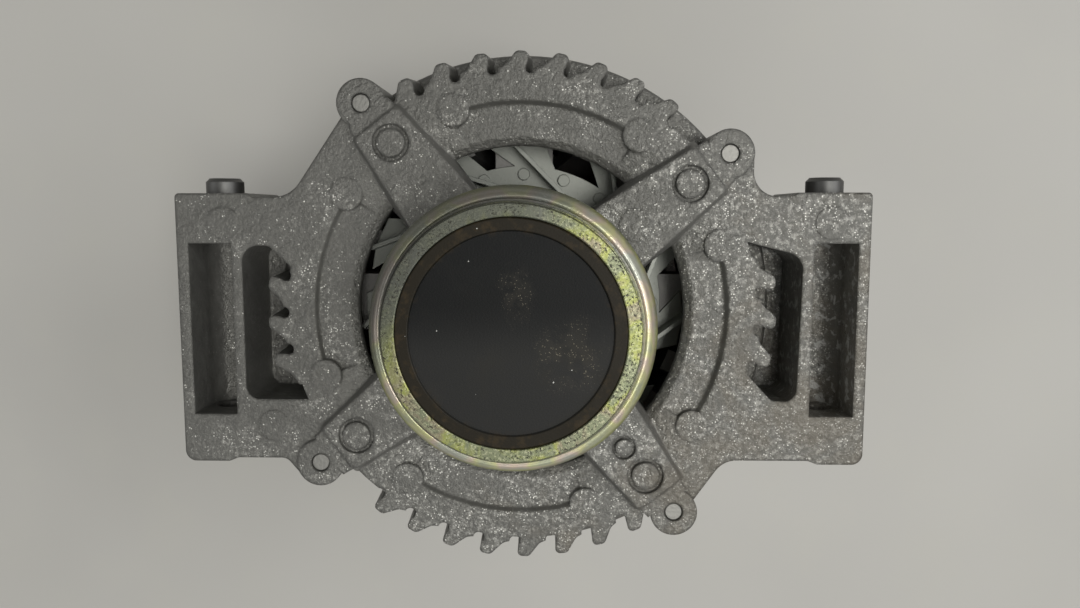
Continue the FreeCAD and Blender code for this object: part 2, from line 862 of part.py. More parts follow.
def phase_leads():
    """Three bars from the rear end winding through the rear frame to the rectifier."""
    z0, z1 = positive_sink_z + lead_tail, stator_rear_z - coil_height
    return rods(lead_r, z0, z1, lead_circle_r, lead_angles)


# Bearings

def bearing_races(in_r, out_r, width, z0, ball_r):
    """Inner and outer ring with a rolling groove each."""
    mid = (in_r + out_r) / 2
    land = ball_r * race_land
    groove = Part.makeTorus(mid, ball_r + ball_clearance, V(0, 0, z0 + width / 2), UP)
    inner = ring(mid - land, in_r + press_fit, z0, z0 + width).cut(groove)
    outer = ring(out_r, mid + land, z0, z0 + width).cut(groove)
    return inner, outer


def ball_set(in_r, out_r, width, z0, ball_r):
    places = [polar((in_r + out_r) / 2, angle) for angle in evenly(ball_count)]
    return [Part.makeSphere(ball_r, V(x, y, z0 + width / 2)) for x, y in places]


def retainer_plate():
    plate = ring(retainer_r, retainer_in_r, front_bearing_z - retainer_thickness, front_bearing_z)
    angles = [a + retainer_screw_clock for a in bolt_angles]
    return plate.cut(rods(retainer_screw_r + free_fit, front_bearing_z - retainer_thickness - over,
                          front_bearing_z + over, retainer_screw_circle_r, angles))


def retainer_screws():
    seat = front_bearing_z - retainer_thickness
    end = front_bearing_z + retainer_screw_reach
    head = seat - retainer_head_height
    screw = turned([(0, head), (retainer_head_r, head), (retainer_head_r, seat),
                    (retainer_screw_r, seat), (retainer_screw_r, end), (0, end)])
    screw.translate(V(retainer_screw_circle_r, 0, 0))
    return spun_all(screw, [a + retainer_screw_clock for a in bolt_angles])


# Rotor

def rotor_shaft():
    rear_end = rear_bearing_z + rear_bearing_width
    return turned([(0, shaft_rear_z), (ring_shaft_r, shaft_rear_z), (ring_shaft_r, ring_shaft_z),
                   (rear_bearing_in_r, ring_shaft_z), (rear_bearing_in_r, rear_end),
                   (shaft_mid_r, rear_end), (shaft_mid_r, front_bearing_z),
                   (front_bearing_in_r, front_bearing_z),
                   (front_bearing_in_r, shaft_end_z - shaft_chamfer),
                   (front_bearing_in_r - shaft_chamfer, shaft_end_z), (0, shaft_end_z)])


def claw_section(half, z):
    """Flat rectangle of one claw at one height, from the core out past the rotor."""
    reach = rotor_r + over
    return flat_outline([(core_r, -half), (core_r, half), (reach, half), (reach, -half)], z)


def claw_pole():
    """Front half of the rotor core: a disc with tapered claws that reach back over the field coil."""
    tip_z = pole_rear_z + claw_tip_gap
    root_z = pole_front_z - pole_disc
    bore = shaft_mid_r + press_fit
    section = turned([(bore, rotor_mid_z), (core_r, rotor_mid_z), (core_r, root_z),
                      (claw_root_in_r, root_z), (claw_tip_in_r, tip_z), (rotor_r, tip_z),
                      (rotor_r, pole_front_z - rotor_edge), (rotor_r - rotor_edge, pole_front_z),
                      (bore, pole_front_z)])
    blade = Part.makeLoft([claw_section(claw_root_half, pole_front_z),
                           claw_section(claw_root_half, root_z),
                           claw_section(claw_tip_half, tip_z)], True, True)
    keep = rod(pole_disc_r, tip_z - over, pole_front_z + over)
    return section.common(joined([keep] + spun_all(blade, evenly(claw_count))))


def rear_claw_pole():
    pole = claw_pole()
    pole.rotate(V(0, 0, rotor_mid_z), RIGHT, 180)
    return spun(pole, 180.0 / claw_count)


def field_bobbin():
    z0 = pole_rear_z + pole_disc + coil_fit
    z1 = pole_front_z - pole_disc - coil_fit
    tube_r = core_r + bobbin_wall
    return turned([(core_r + coil_fit, z0), (bobbin_r, z0), (bobbin_r, z0 + bobbin_wall),
                   (tube_r, z0 + bobbin_wall), (tube_r, z1 - bobbin_wall), (bobbin_r, z1 - bobbin_wall),
                   (bobbin_r, z1), (core_r + coil_fit, z1)])


def field_coil():
    wall = pole_disc + bobbin_wall + 2 * coil_fit
    z0, z1 = pole_rear_z + wall, pole_front_z - wall
    in_r = core_r + bobbin_wall + coil_fit
    return turned([(in_r, z0), (field_coil_r, z0, 1.0), (field_coil_r, z1, 1.0), (in_r, z1)])


def fan_blade(start):
    """One swept blade: a foot in the disc's plane and a wall bent up from its edge."""
    end = start + fan_blade_sweep
    foot_in, foot_out = polar(fan_blade_in_r, start), polar(fan_r, end)
    belly = polar(fan_r, start + fan_blade_sweep * fan_blade_belly)
    tip_out = polar(fan_r - fan_corner_drop, end + fan_blade_foot)
    tip_in = polar(fan_blade_in_r, start + fan_blade_foot)
    foot = prism([foot_in, belly, foot_out, tip_out, tip_in], 0, fan_sheet)
    along = V(foot_out[0] - foot_in[0], foot_out[1] - foot_in[1], 0)
    side = V(-along.y, along.x, 0).normalize() * fan_sheet
    wall = prism([foot_in, foot_out, (foot_out[0] + side.x, foot_out[1] + side.y),
                  (foot_in[0] + side.x, foot_in[1] + side.y)], 0, fan_blade_height)
    return [foot, wall]


def fan(seat_z, direction, turn):
    """Sheet fan: a flat disc on the pole face with bent-up swept blades and weld dimples."""
    pieces = [ring(fan_disc_r, fan_hub_in_r, 0, fan_sheet)]
    for k, start in enumerate(evenly(fan_blade_count)):
        pieces += fan_blade(start + (0 if k % 2 else fan_blade_stagger))
    pieces += rods(fan_dimple_r, fan_sheet - free_fit, fan_sheet + fan_dimple_height,
                   fan_dimple_circle_r, evenly(fan_dimple_count))
    body = joined(pieces)
    if direction < 0:
        body.rotate(ORIGIN, RIGHT, 180)
    body.translate(V(0, 0, seat_z))
    return spun(body, turn)


def slip_rings():
    return [ring(slip_r, slip_bore_r, z, z + slip_width) for z in slip_z]


def slip_insulator():
    z0 = slip_z[0] - slip_collar
    spans = [(z0, slip_z[0]), (slip_z[0] + slip_width, slip_z[1]),
             (slip_z[1] + slip_width, slip_sleeve_front_z)]
    bore = ring_shaft_r + press_fit
    sleeve = ring(slip_bore_r, bore, z0, slip_sleeve_front_z)
    return joined([sleeve] + [ring(slip_collar_r, bore, low, high) for low, high in spans])


# Brush gear, on the +X side of the slip rings

def brush(track):
    """Carbon block with its end worn round to the ring; track 0 is the rear ring."""
    z = slip_z[track] + slip_width / 2
    block = box(0, slip_r + brush_gap + brush_length, -brush_half_width, brush_half_width,
                z - brush_height / 2, z + brush_height / 2)
    return block.cut(rod(slip_r + brush_gap, z - brush_height, z + brush_height))


def brush_spring(track):
    """Coil spring between the brush and the end of its channel."""
    end_gap = brush_spring_gap + brush_spring_wire
    start = slip_r + brush_gap + brush_length + end_gap
    length = holder_end_x - holder_end_wall - end_gap - start
    helix = Part.makeHelix(length / brush_spring_turns, length, brush_spring_r)
    wire = Part.Wire(Part.makeCircle(brush_spring_wire, V(brush_spring_r, 0, 0), BACK))
    spring = Part.Wire(helix).makePipeShell([wire], True, False)
    spring.rotate(ORIGIN, BACK, 90)
    spring.translate(V(start, 0, slip_z[track] + slip_width / 2))
    return spring


def brush_holder():
    """Plastic block with two open-ended channels."""
    body = prism([(holder_nose_x, -holder_half_y), (holder_end_x, -holder_half_y, holder_round),
                  (holder_end_x, holder_half_y, holder_round), (holder_nose_x, holder_half_y)],
                 holder_rear_z, holder_front_z)
    half_y = brush_half_width + brush_side_gap
    half_z = brush_height / 2 + brush_side_gap
    middles = [z + slip_width / 2 for z in slip_z]
    return body.cut([box(0, holder_end_x - holder_end_wall, -half_y, half_y, mid - half_z, mid + half_z)
                     for mid in middles])


def regulator():
    """Flat electronic module beside the brush holder, with cooling fins behind."""
    half = socket_half_width + 1.0
    block = prism([(14.0, holder_half_y), (cover_nut_circle_r - 3.5, holder_half_y, 2.0),
                   (cover_nut_circle_r - 7.5, 24.0, 3.0),
                   (socket_x + half, regulator_end_y, 1.0), (socket_x - half, regulator_end_y, 1.0),
                   (10.0, 22.0, 2.0)], regulator_rear_z, holder_front_z)
    fins = []
    for k in range(regulator_fin_count):
        x = regulator_fin_x + regulator_fin_pitch * k
        fins.append(box(x, x + regulator_fin_width, regulator_fin_y, regulator_fin_end_y - 2.0 * k,
                        holder_rear_z, regulator_rear_z + slip_fit))
    return joined([block] + fins)


def connector_socket():
    """Moulded plug housing that reaches out through the cover's notch."""
    x0, x1 = socket_x - socket_half_width, socket_x + socket_half_width
    z0, z1 = socket_z - socket_half_height, socket_z + socket_half_height
    neck = box(x0, x1, regulator_end_y, socket_reach, z0, z1)
    inside = box(x0 + socket_wall, x1 - socket_wall, socket_reach - socket_depth, socket_reach + over,
                 z0 + socket_wall, z1 - socket_wall)
    latch = box(socket_x - latch_half, socket_x + latch_half, socket_reach - latch_start,
                socket_reach - latch_end, z1, z1 + latch_rise)
    return joined([neck, latch]).cut(inside)


def connector_pins():
    root = socket_reach - socket_depth
    pins = []
    for k in range(pin_count):
        x = socket_x + (k - (pin_count - 1) / 2) * pin_pitch
        pins.append(box(x - pin_half_width, x + pin_half_width, root, root + pin_length,
                        socket_z - pin_half_thickness, socket_z + pin_half_thickness))
    return pins


# Rectifier

def heat_sink(z0, r_in):
    """Arc-shaped plate with holes for screws, phase leads and cover studs."""
    z1 = z0 + sink_thickness
    plate = spun(ring(sink_out_r, r_in, z0, z1, sink_sweep), sink_start)
    return plate.cut(rods(rectifier_screw_r + free_fit, z0 - over, z1 + over, rectifier_screw_circle_r,
                          rectifier_screw_angles)
                     + rods(sink_hole_r, z0 - over, z1 + over, lead_circle_r, lead_angles)
                     + rods(sink_hole_r, z0 - over, z1 + over, cover_nut_circle_r, cover_nut_angles))


def diodes(z0, shift):
    """Row of press-fit diodes on a plate; shift staggers one plate's row against the other's."""
    step = (sink_sweep - 2 * diode_inset) / diode_count
    angles = [sink_start + diode_inset + step * (k + shift) for k in range(diode_count)]
    return rods(diode_r, z0, z0 + diode_height, diode_circle_r, angles)


def terminal_moulding():
    """Plastic arc between the plates, with screw posts and an eye for each phase lead."""
    z0, z1 = positive_sink_z + sink_thickness, negative_sink_z
    body = spun(ring(moulding_out_r, moulding_in_r, z0, z1, sink_sweep - 2 * moulding_inset),
                sink_start + moulding_inset)
    posts = rods(moulding_post_r, z0, z1, rectifier_screw_circle_r, rectifier_screw_angles)
    eye = box(moulding_out_r - 2.0, lead_circle_r + lead_r + lead_eye_rim, -lead_eye_half, lead_eye_half,
              z0 + lead_eye_lift, z0 + lead_eye_lift + lead_eye_height)
    cuts = rods(rectifier_screw_r + free_fit, z0 - over, z1 + over, rectifier_screw_circle_r,
                rectifier_screw_angles)
    cuts += rods(lead_r + press_fit, z0, z1, lead_circle_r, lead_angles)
    return joined([body] + posts + spun_all(eye, lead_angles)).cut(cuts)


def rectifier_screws():
    seat = positive_sink_z
    end = rear_face_z + rectifier_screw_reach
    head = seat - rectifier_head_height
    screw = turned([(0, head), (rectifier_head_r, head), (rectifier_head_r, seat),
                    (rectifier_screw_r, seat), (rectifier_screw_r, end), (0, end)])
    screw.translate(V(rectifier_screw_circle_r, 0, 0))
    return spun_all(screw, rectifier_screw_angles)


def at_stud(shape):
    """Lay a turned piece along -Y at the output stud's height."""
    shape.rotate(ORIGIN, RIGHT, 90)
    shape.translate(V(0, 0, stud_z))
    return shape


def output_stud():
    """Threaded battery stud with a square foot on the positive plate."""
    shank = at_stud(turned([(0, stud_start_y), (stud_r, stud_start_y),
                            (stud_r, stud_end_y - stud_chamfer), (stud_r - stud_chamfer, stud_end_y),
                            (0, stud_end_y)]))
    foot = box(-stud_foot_half, stud_foot_half, -stud_foot_out_y, -stud_foot_in_y,
               positive_sink_z - stud_foot_height, positive_sink_z)
    return joined([shank, foot])


def output_insulator():
    """Plastic bush where the stud leaves the cover."""
    bore = stud_r + slip_fit
    inner = cover_r - cover_wall - bush_depth
    seat = cover_r + bush_seat
    top = cover_r + bush_rise
    return at_stud(turned([(bore, inner), (bush_r, inner), (bush_r, seat), (bush_collar_r, seat),
                           (bush_collar_r, top, 1.0), (bore, top)]))


def output_nut():
    z0 = cover_r + bush_rise
    z1 = z0 + stud_nut_flange
    bore = stud_r + slip_fit
    flange = turned([(bore, z0), (stud_nut_flange_r, z0), (stud_nut_r, z1), (bore, z1)])
    body = hexagon(stud_nut_r, z1, z0 + stud_nut_height).cut(rod(bore, z0, z0 + stud_nut_height + over))
    return at_stud(joined([flange, body]))


# Rear cover

def rear_cover():
    """Plastic cup with a slotted floor, sunk nut wells and a notch for the plug socket."""
    inside_r = cover_r - cover_wall
    cup = turned([(0, 0), (cover_r, 0, cover_corner), (cover_r, rear_face_z), (inside_r, rear_face_z),
                  (inside_r, cover_wall, cover_corner - cover_wall), (0, cover_wall)])
    limit = rod(cover_r - 0.5, 0, rear_face_z)
    wells = [well.common(limit) for well in rods(well_r + well_wall, 0, well_depth + well_wall,
                                                 cover_nut_circle_r, cover_nut_angles)]
    wide, narrow = cover_slot_out_half, cover_slot_in_half
    slot = prism([(cover_slot_in_r, -narrow, 1.0), (cover_slot_out_r, -wide, 1.6),
                  (cover_slot_out_r, wide, 1.6), (cover_slot_in_r, narrow, 1.0)], -over, cover_wall + over)
    notch = box(socket_x - socket_half_width - socket_gap, socket_x + socket_half_width + socket_gap,
                regulator_end_y, cover_r + over,
                socket_z - socket_half_height - socket_gap, rear_face_z + over)
    cuts = [notch, at_stud(rod(bush_r + slip_fit, cover_r - 8.0, cover_r + over))]
    cuts += spun_all(slot, evenly(cover_slot_count, 180.0 / cover_slot_count))
    cuts += rods(cover_hole_r, -over, cover_wall + over, cover_hole_circle_r, evenly(cover_hole_count))
    cuts += rods(well_r, -over, well_depth, cover_nut_circle_r, cover_nut_angles)
    cuts += rods(cover_stud_r + 2 * free_fit, -over, well_depth + well_wall + over,
                 cover_nut_circle_r, cover_nut_angles)
    return joined([cup] + wells).cut(cuts)


def cover_studs():
    return rods(cover_stud_r, cover_stud_rear_z, rear_face_z + rear_plate,
                cover_nut_circle_r, cover_nut_angles)


def cover_nuts():
    flange_z = well_depth - cover_nut_flange
    nut = joined([hexagon(cover_nut_r, well_depth - cover_nut_height, flange_z),
                  rod(cover_nut_flange_r, flange_z, well_depth)])
    nut = nut.cut(rod(cover_stud_r + slip_fit, 0, well_depth + over))
    nut.translate(V(cover_nut_circle_r, 0, 0))
    return spun_all(nut, cover_nut_angles)


# Overrunning pulley

def rib_points(z):
    """One belt groove between two crests, from height z up."""
    valley_r = pulley_rib_r - pulley_rib_depth
    crest_r = pulley_rib_r - rib_crest_drop
    return [(crest_r, z + rib_crest), (valley_r, z + (0.5 - rib_valley) * pulley_rib_pitch),
            (valley_r, z + (0.5 + rib_valley) * pulley_rib_pitch),
            (crest_r, z + pulley_rib_pitch - rib_crest)]


def pulley_ring():
    """Grooved outer ring with its front flange, rounded nose and flat collar."""
    rib_zone = pulley_rib_pitch * pulley_rib_count
    first = pulley_flange_z - pulley_flange_width - 1.2 - rib_zone
    groove_floor = pulley_front_z - collar_groove_depth
    cap_bore = cap_r + press_fit
    cap_seat_z = pulley_front_z - cap_seat_depth
    profile = [(pulley_bore_r, pulley_rear_z), (pulley_rib_r - 1.0, pulley_rear_z),
               (pulley_rear_flange_r, pulley_rear_z + 0.8), (pulley_rear_flange_r, first - 1.2),
               (pulley_rib_r, first)]
    for k in range(pulley_rib_count):
        profile += rib_points(first + pulley_rib_pitch * k)
    profile += [(pulley_rib_r, first + rib_zone),
                (pulley_flange_r, pulley_flange_z - pulley_flange_width),
                (pulley_flange_r, pulley_flange_z, 0.6),
                (pulley_lip_r, pulley_flange_z + pulley_lip_rise, 1.2),
                (collar_r + collar_groove, pulley_front_z - collar_shoulder, 1.0),
                (collar_r + collar_groove - 0.1, groove_floor), (collar_r, groove_floor),
                (collar_r, pulley_front_z, 0.3), (cap_bore, pulley_front_z, 0.3), (cap_bore, cap_seat_z),
                (cap_seat_r, cap_seat_z), (pulley_bore_r, cap_seat_z - cap_lead_in)]
    return turned(profile)


def pulley_cap():
    """Thin dust cap with a raised rim, pressed into the ring."""
    top = pulley_front_z - cap_drop
    foot = pulley_front_z - cap_seat_depth
    inner = cap_r - cap_skirt
    rim = cap_r - cap_rim_width
    return turned([(0, top - cap_thickness), (inner, top - cap_thickness), (inner, foot), (cap_r, foot),
                   (cap_r, top + cap_rim_rise, 0.4), (rim, top + cap_rim_rise, 0.3),
                   (rim - 0.3, top, 0.1), (0, top)])


def pulley_hub():
    """Inner sleeve screwed on the shaft, with a toothed drive recess at the front."""
    bore = front_bearing_in_r + press_fit
    step_z = shaft_end_z + hub_step
    body = turned([(bore, hub_rear_z), (hub_collar_r, hub_rear_z),
                   (hub_collar_r, pulley_rear_z + hub_chamfer), (hub_r, pulley_rear_z + 2 * hub_chamfer),
                   (hub_r, hub_front_z - hub_chamfer),
                   (hub_r - hub_chamfer, hub_front_z), (hub_bore_r, hub_front_z), (hub_bore_r, step_z),
                   (bore, step_z)])
    tooth = box(front_bearing_in_r, hub_tooth_r, -hub_tooth_half, hub_tooth_half,
                step_z, hub_front_z + over)
    return body.cut(spun_all(tooth, evenly(hub_tooth_count)))


def shaft_collar():
    """Spacer between the front bearing's inner ring and the pulley hub."""
    return ring(collar_out_r, front_bearing_in_r + press_fit, lug_z - front_bearing_drop, hub_rear_z)


def clutch_sleeve():
    half = roller_length / 2 + clutch_sleeve_side
    return ring(pulley_bore_r - press_fit, clutch_sleeve_in_r, clutch_mid_z - half, clutch_mid_z + half)


def clutch_rollers():
    half = roller_length / 2
    return rods(roller_r, clutch_mid_z - half, clutch_mid_z + half, hub_r + slip_fit + roller_r,
                evenly(roller_count))


def pulley_liner(z0):
    """Plain support bearing beside the clutch, a liner in the pulley that runs on the hub."""
    return ring(pulley_bore_r - press_fit, hub_r + slip_fit, z0, z0 + liner_width)


def save_housing():
    save("drive_end_frame", drive_end_frame())
    save("through_bolts", *through_bolts())
    save("left_slide_sleeve", slide_sleeve(-1))
    save("right_slide_sleeve", slide_sleeve(1))
    save("rear_frame", rear_frame())
    save("stator_core", stator_core())
    save("front_end_winding", end_winding(stator_front_z, 1))
    save("rear_end_winding", end_winding(stator_rear_z, -1))
    save("phase_leads", *phase_leads())
    save("bearing_retainer_plate", retainer_plate())
    save("retainer_screws", *retainer_screws())


def save_bearing(name, in_r, out_r, width, z0, ball_r):
    inner, outer = bearing_races(in_r, out_r, width, z0, ball_r)
    save("%s_bearing_inner_ring" % name, inner)
    save("%s_bearing_outer_ring" % name, outer)
    save("%s_bearing_balls" % name, *ball_set(in_r, out_r, width, z0, ball_r))


def save_rotor():
    save("rotor_shaft", rotor_shaft())
    save("front_claw_pole", claw_pole())
    save("rear_claw_pole", rear_claw_pole())
    save("field_bobbin", field_bobbin())
    save("field_coil", field_coil())
    save("front_fan", fan(pole_front_z, 1, 0.0))
    save("rear_fan", fan(pole_rear_z, -1, rear_fan_clock))
    save("slip_rings", *slip_rings())
    save("slip_ring_insulator", slip_insulator())


def save_electrics():
    for track, name in enumerate(("rear", "front")):
        save("%s_brush" % name, brush(track))
        save("%s_brush_spring" % name, brush_spring(track))
    save("brush_holder", brush_holder())
    save("regulator", regulator())
    save("connector_socket", connector_socket())
    save("connector_pins", *connector_pins())
    save("negative_heat_sink", heat_sink(negative_sink_z, sink_in_r))
    save("positive_heat_sink", heat_sink(positive_sink_z, sink_in_r + 1.0))
    save("negative_diodes", *diodes(negative_sink_z - diode_height, 0.25))
    save("positive_diodes", *diodes(positive_sink_z + sink_thickness, 0.75))
    save("terminal_moulding", terminal_moulding())
    save("rectifier_screws", *rectifier_screws())
    save("output_stud", output_stud())
    save("output_insulator", output_insulator())
    save("output_nut", output_nut())
    save("rear_cover", rear_cover())
    save("cover_studs", *cover_studs())
    save("cover_nuts", *cover_nuts())


def save_pulley():
    save("pulley_ring", pulley_ring())
    save("pulley_cap", pulley_cap())
    save("pulley_hub", pulley_hub())
    save("shaft_collar", shaft_collar())
    save("clutch_sleeve", clutch_sleeve())
    save("clutch_rollers", *clutch_rollers())
    save("pulley_rear_liner", pulley_liner(rear_liner_z))
    save("pulley_front_liner", pulley_liner(front_liner_z))


os.makedirs("parts", exist_ok=True)
save_housing()
save_bearing("front", front_bearing_in_r, front_bearing_out_r, front_bearing_width, front_bearing_z,
             front_ball_r)
save_bearing("rear", rear_bearing_in_r, rear_bearing_out_r, rear_bearing_width, rear_bearing_z,
             rear_ball_r)
save_rotor()
save_electrics()
save_pulley()
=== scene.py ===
# %% [markdown]
# # A belt-driven alternator
#
# The CAD model gives every piece its size, its place and the body that it moves with. This
# notebook gives the same pieces their surfaces, adds the shapes that are too fine for the
# solids, and sets up the table, the light and the camera. Lengths are in metres, +Z points
# along the shaft towards the pulley, and the origin is where the rear cover stands. The
# photograph looks down the shaft, with +X to its right and +Y to its top.

# %% The packed frame
import math

import bpy
import numpy as np
from mathutils import Matrix, Vector


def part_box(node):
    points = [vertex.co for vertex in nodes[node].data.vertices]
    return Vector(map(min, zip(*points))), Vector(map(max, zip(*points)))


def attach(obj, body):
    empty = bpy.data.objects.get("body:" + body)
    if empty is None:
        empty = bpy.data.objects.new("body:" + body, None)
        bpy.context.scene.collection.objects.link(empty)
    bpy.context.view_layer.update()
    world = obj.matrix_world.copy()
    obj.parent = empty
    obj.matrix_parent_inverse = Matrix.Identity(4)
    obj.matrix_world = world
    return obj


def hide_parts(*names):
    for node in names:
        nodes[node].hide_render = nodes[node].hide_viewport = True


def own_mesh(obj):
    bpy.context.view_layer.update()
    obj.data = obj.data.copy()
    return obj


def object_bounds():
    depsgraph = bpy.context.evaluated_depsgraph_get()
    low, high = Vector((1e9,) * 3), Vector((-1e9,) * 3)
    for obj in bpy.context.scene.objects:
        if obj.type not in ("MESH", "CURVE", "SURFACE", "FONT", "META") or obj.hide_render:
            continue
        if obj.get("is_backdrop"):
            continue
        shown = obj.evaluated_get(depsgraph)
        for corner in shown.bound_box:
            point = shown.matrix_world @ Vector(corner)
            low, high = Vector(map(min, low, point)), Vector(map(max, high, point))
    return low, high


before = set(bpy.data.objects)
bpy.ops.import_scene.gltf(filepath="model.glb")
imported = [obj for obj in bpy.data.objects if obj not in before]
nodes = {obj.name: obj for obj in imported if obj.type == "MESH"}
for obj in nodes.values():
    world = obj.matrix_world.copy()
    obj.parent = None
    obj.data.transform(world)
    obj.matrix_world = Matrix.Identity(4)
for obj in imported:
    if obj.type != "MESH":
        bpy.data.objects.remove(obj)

MM = 0.001
cad_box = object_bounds()
print("nodes:", len(nodes), "size in mm:", [round(s / MM, 1) for s in cad_box[1] - cad_box[0]])

# %% [markdown]
# ## Writing materials as expressions
#
# A finish is a small program: noise, masks and colours that feed one surface shader. Such a
# tree could be clicked together in the shader editor, or written as long lists of nodes and
# links, but both are slow and hard to read. So one class wraps a socket: arithmetic on it
# adds Math nodes, and its node() method adds any other kind of node.

# %% A socket that can be calculated with
class Wire:
    """A socket of a material. Arithmetic on it adds Math nodes; node() adds the rest."""

    def __init__(self, socket):
        self.socket = socket

    def node(self, kind, settings=None, *values, **named):
        """Adds a node: settings first, then values or wires for its open sockets."""
        made = self.socket.id_data.nodes.new("ShaderNode" + kind)
        for setting, value in (settings or {}).items():
            if setting == "stops":
                while len(made.color_ramp.elements) < len(value):
                    made.color_ramp.elements.new(0.5)
                for stop, (position, colour) in zip(made.color_ramp.elements, value):
                    stop.position, stop.color = position, (*colour, 1.0)
            else:
                setattr(made, setting, value)
        usable = [s for s in made.inputs if s.enabled]
        by_name = {s.name: s for s in reversed(usable)}
        pairs = list(zip(usable, values))
        pairs += [(by_name[name.replace("_", " ")], value) for name, value in named.items()]
        for socket, value in pairs:
            if isinstance(value, Wire):
                socket.id_data.links.new(value.socket, socket)
            else:
                full = (*value, 1.0) if socket.type == "RGBA" and len(value) == 3 else value
                socket.default_value = full
        return Wire(next((s for s in made.outputs if s.enabled), None))

    def out(self, name):
        """Another output of the same node."""
        return Wire(self.socket.node.outputs[name])

    def math(self, operation, *inputs):
        """A Math node with this operation and these inputs."""
        return self.node("Math", {"operation": operation}, *inputs)

    def __add__(self, other): return self.math("ADD", self, other)
    def __sub__(self, other): return self.math("SUBTRACT", self, other)
    def __rsub__(self, other): return self.math("SUBTRACT", other, self)
    def __mul__(self, other): return self.math("MULTIPLY", self, other)
    def __truediv__(self, other): return self.math("DIVIDE", self, other)
    def __pow__(self, other): return self.math("POWER", self, other)
    def __abs__(self): return self.math("ABSOLUTE", self)
    __radd__, __rmul__ = __add__, __mul__


print("a wire has:", [name for name in vars(Wire) if not name.startswith("_")])

# %% [markdown]
# ## Where a finish starts and ends
#
# A finish starts from the place of a point on its piece and ends in one Principled surface.
# Generated coordinates would stretch with each piece's box. Object coordinates are in metres
# and stay with the piece as it moves, so a pattern has a true size and never slides. Most
# marks on a machine of this kind run round the shaft or along it, so the distance from the
# shaft is at hand as well.

# %% Open and close a finish
def new_finish(name):
    """An empty material, and its object coordinates as the first wire."""
    material = bpy.data.materials.new(name)
    material.use_nodes = True
    tree = material.node_tree
    tree.nodes.clear()
    place = Wire(tree.nodes.new("ShaderNodeTexCoord").outputs["Object"])
    return material, place


def close_finish(place, **sockets):
    """Ends a finish with its Principled surface, given by socket."""
    place.node("OutputMaterial", None, place.node("BsdfPrincipled", None, **sockets))


def parts_of(vector):
    """The x, y and z of a place or a direction, as three wires."""
    split = vector.node("SeparateXYZ", None, vector)
    return split.out("X"), split.out("Y"), split.out("Z")


def from_shaft(x, y):
    """Distance from the shaft's axis: the root of x squared plus y squared."""
    return (x * x + y * y) ** 0.5


def shade(tone, times, lift=0.0, top=1.0):
    """A tone made darker or brighter: times it, plus a lift, but never above top."""
    return [min(top, times * part + lift) for part in tone]


print("a grey of 0.2 at half strength:", shade((0.2, 0.2, 0.2), 0.5))

# %% [markdown]
# ## Noise, specks, masks and edges
#
# Most real surfaces are one material seen at three scales: broad tones, blotches and grain.
# Photographs could be wrapped round the pieces for that, but then every piece needs its own
# map and shows its seams. Noise in object coordinates needs no map, and takes its size in
# millimetres, so the grain is right on every piece. Worn edges come from the Bevel node:
# where the softened normal leaves the true one, there is an edge.

# %% Patterns that the finishes share
def noise(place, size, detail=2.0, roughness=0.5, distortion=0.0):
    """Noise from 0 to 1 whose features are about this size in metres."""
    return place.node("TexNoise", {"noise_dimensions": "3D"}, Vector=place, Scale=1 / size,
                      Detail=detail, Roughness=roughness, Distortion=distortion)


def mask(value, low, high):
    """0 below low, 1 above high, with a smooth step between them; low may be the larger."""
    return value.node("MapRange", {"interpolation_type": "SMOOTHSTEP"},
                      value, low, high, 0.0, 1.0)


def dots(place, size, core, reach):
    """Round specks, one in each cell of this size: full out to core, gone at reach."""
    cells = place.node("TexVoronoi", None, Vector=place, Scale=1 / size)
    return mask(cells, reach, core)


def tint(amount, first, second):
    """A colour from first, at 0, to second, at 1."""
    return amount.node("Mix", {"data_type": "RGBA"}, amount, first, second)


def bump(height, distance, normal=None):
    """A bump of this height in metres where the value goes from 0 to 1."""
    extra = {"Normal": normal} if normal else {}
    return height.node("Bump", None, Strength=1.0, Distance=distance, Height=height, **extra)


def soft_edges(place, radius):
    """The normal of a surface whose edges are rounded by this radius, and a mask of them."""
    rounded = place.node("Bevel", {"samples": 6}, Radius=radius)
    true = place.node("NewGeometry").out("Normal")
    across = place.node("VectorMath", {"operation": "DOT_PRODUCT"}, rounded, true)
    return rounded, mask(1 - across, 0.02, 0.30)


print("patterns:", [pattern.__name__ for pattern in (noise, mask, dots, tint, bump, soft_edges)])

# %% [markdown]
# ## White oxide in the right ear
#
# On the photograph, the floor of the trough in the right ear is crusted with pale oxide. It
# could be painted onto the mesh, but the casting is the CAD's own mesh and stays as it is. So
# the crust is held to the trough by masks on x, y and z, each given by where it is 0 and
# where it is 1.

# %% The floor of the trough
TROUGH_INNER_X = (66 * MM, 74 * MM)
TROUGH_OUTER_X = (92.4 * MM, 92.0 * MM)
TROUGH_MIDDLE_Y = -5 * MM
TROUGH_HALF_LONG = (24.5 * MM, 23.5 * MM)
TROUGH_MOUTH_Z = (119 * MM, 116 * MM)


def trough_floor(x, y, z):
    """1 between the trough's walls, between its ends and below its mouth."""
    wide = mask(x, *TROUGH_INNER_X) * mask(x, *TROUGH_OUTER_X)
    between = wide * mask(abs(y - TROUGH_MIDDLE_Y), *TROUGH_HALF_LONG)
    return mask(z, *TROUGH_MOUTH_Z) * between


print("the crust ends in x at", round(TROUGH_OUTER_X[0] / MM, 1), "mm")

# %% [markdown]
# ## Die-cast aluminium
#
# The front casting is shot-blasted: its raised faces have fine grains, and their glitter is
# painted into the colour as bright specks and near-white glints; the sides, which leave the
# mould first, are smoother, get fewer painted specks and look darker. One even noise would
# give both the same skin, so the grain and the painted glitter here are stronger where the
# surface looks along the shaft. The painted glitter drifts: it is denser towards the lower
# right, where old oil has also left broad stains. The rear casting is the same metal, but
# brighter and cleaner.

# %% The casting finish
PAINTED_GLINT_WHITE = (0.95, 0.94, 0.88)
OIL_BROWN = (0.13, 0.11, 0.08)
OXIDE_GREY = (0.46, 0.46, 0.44)


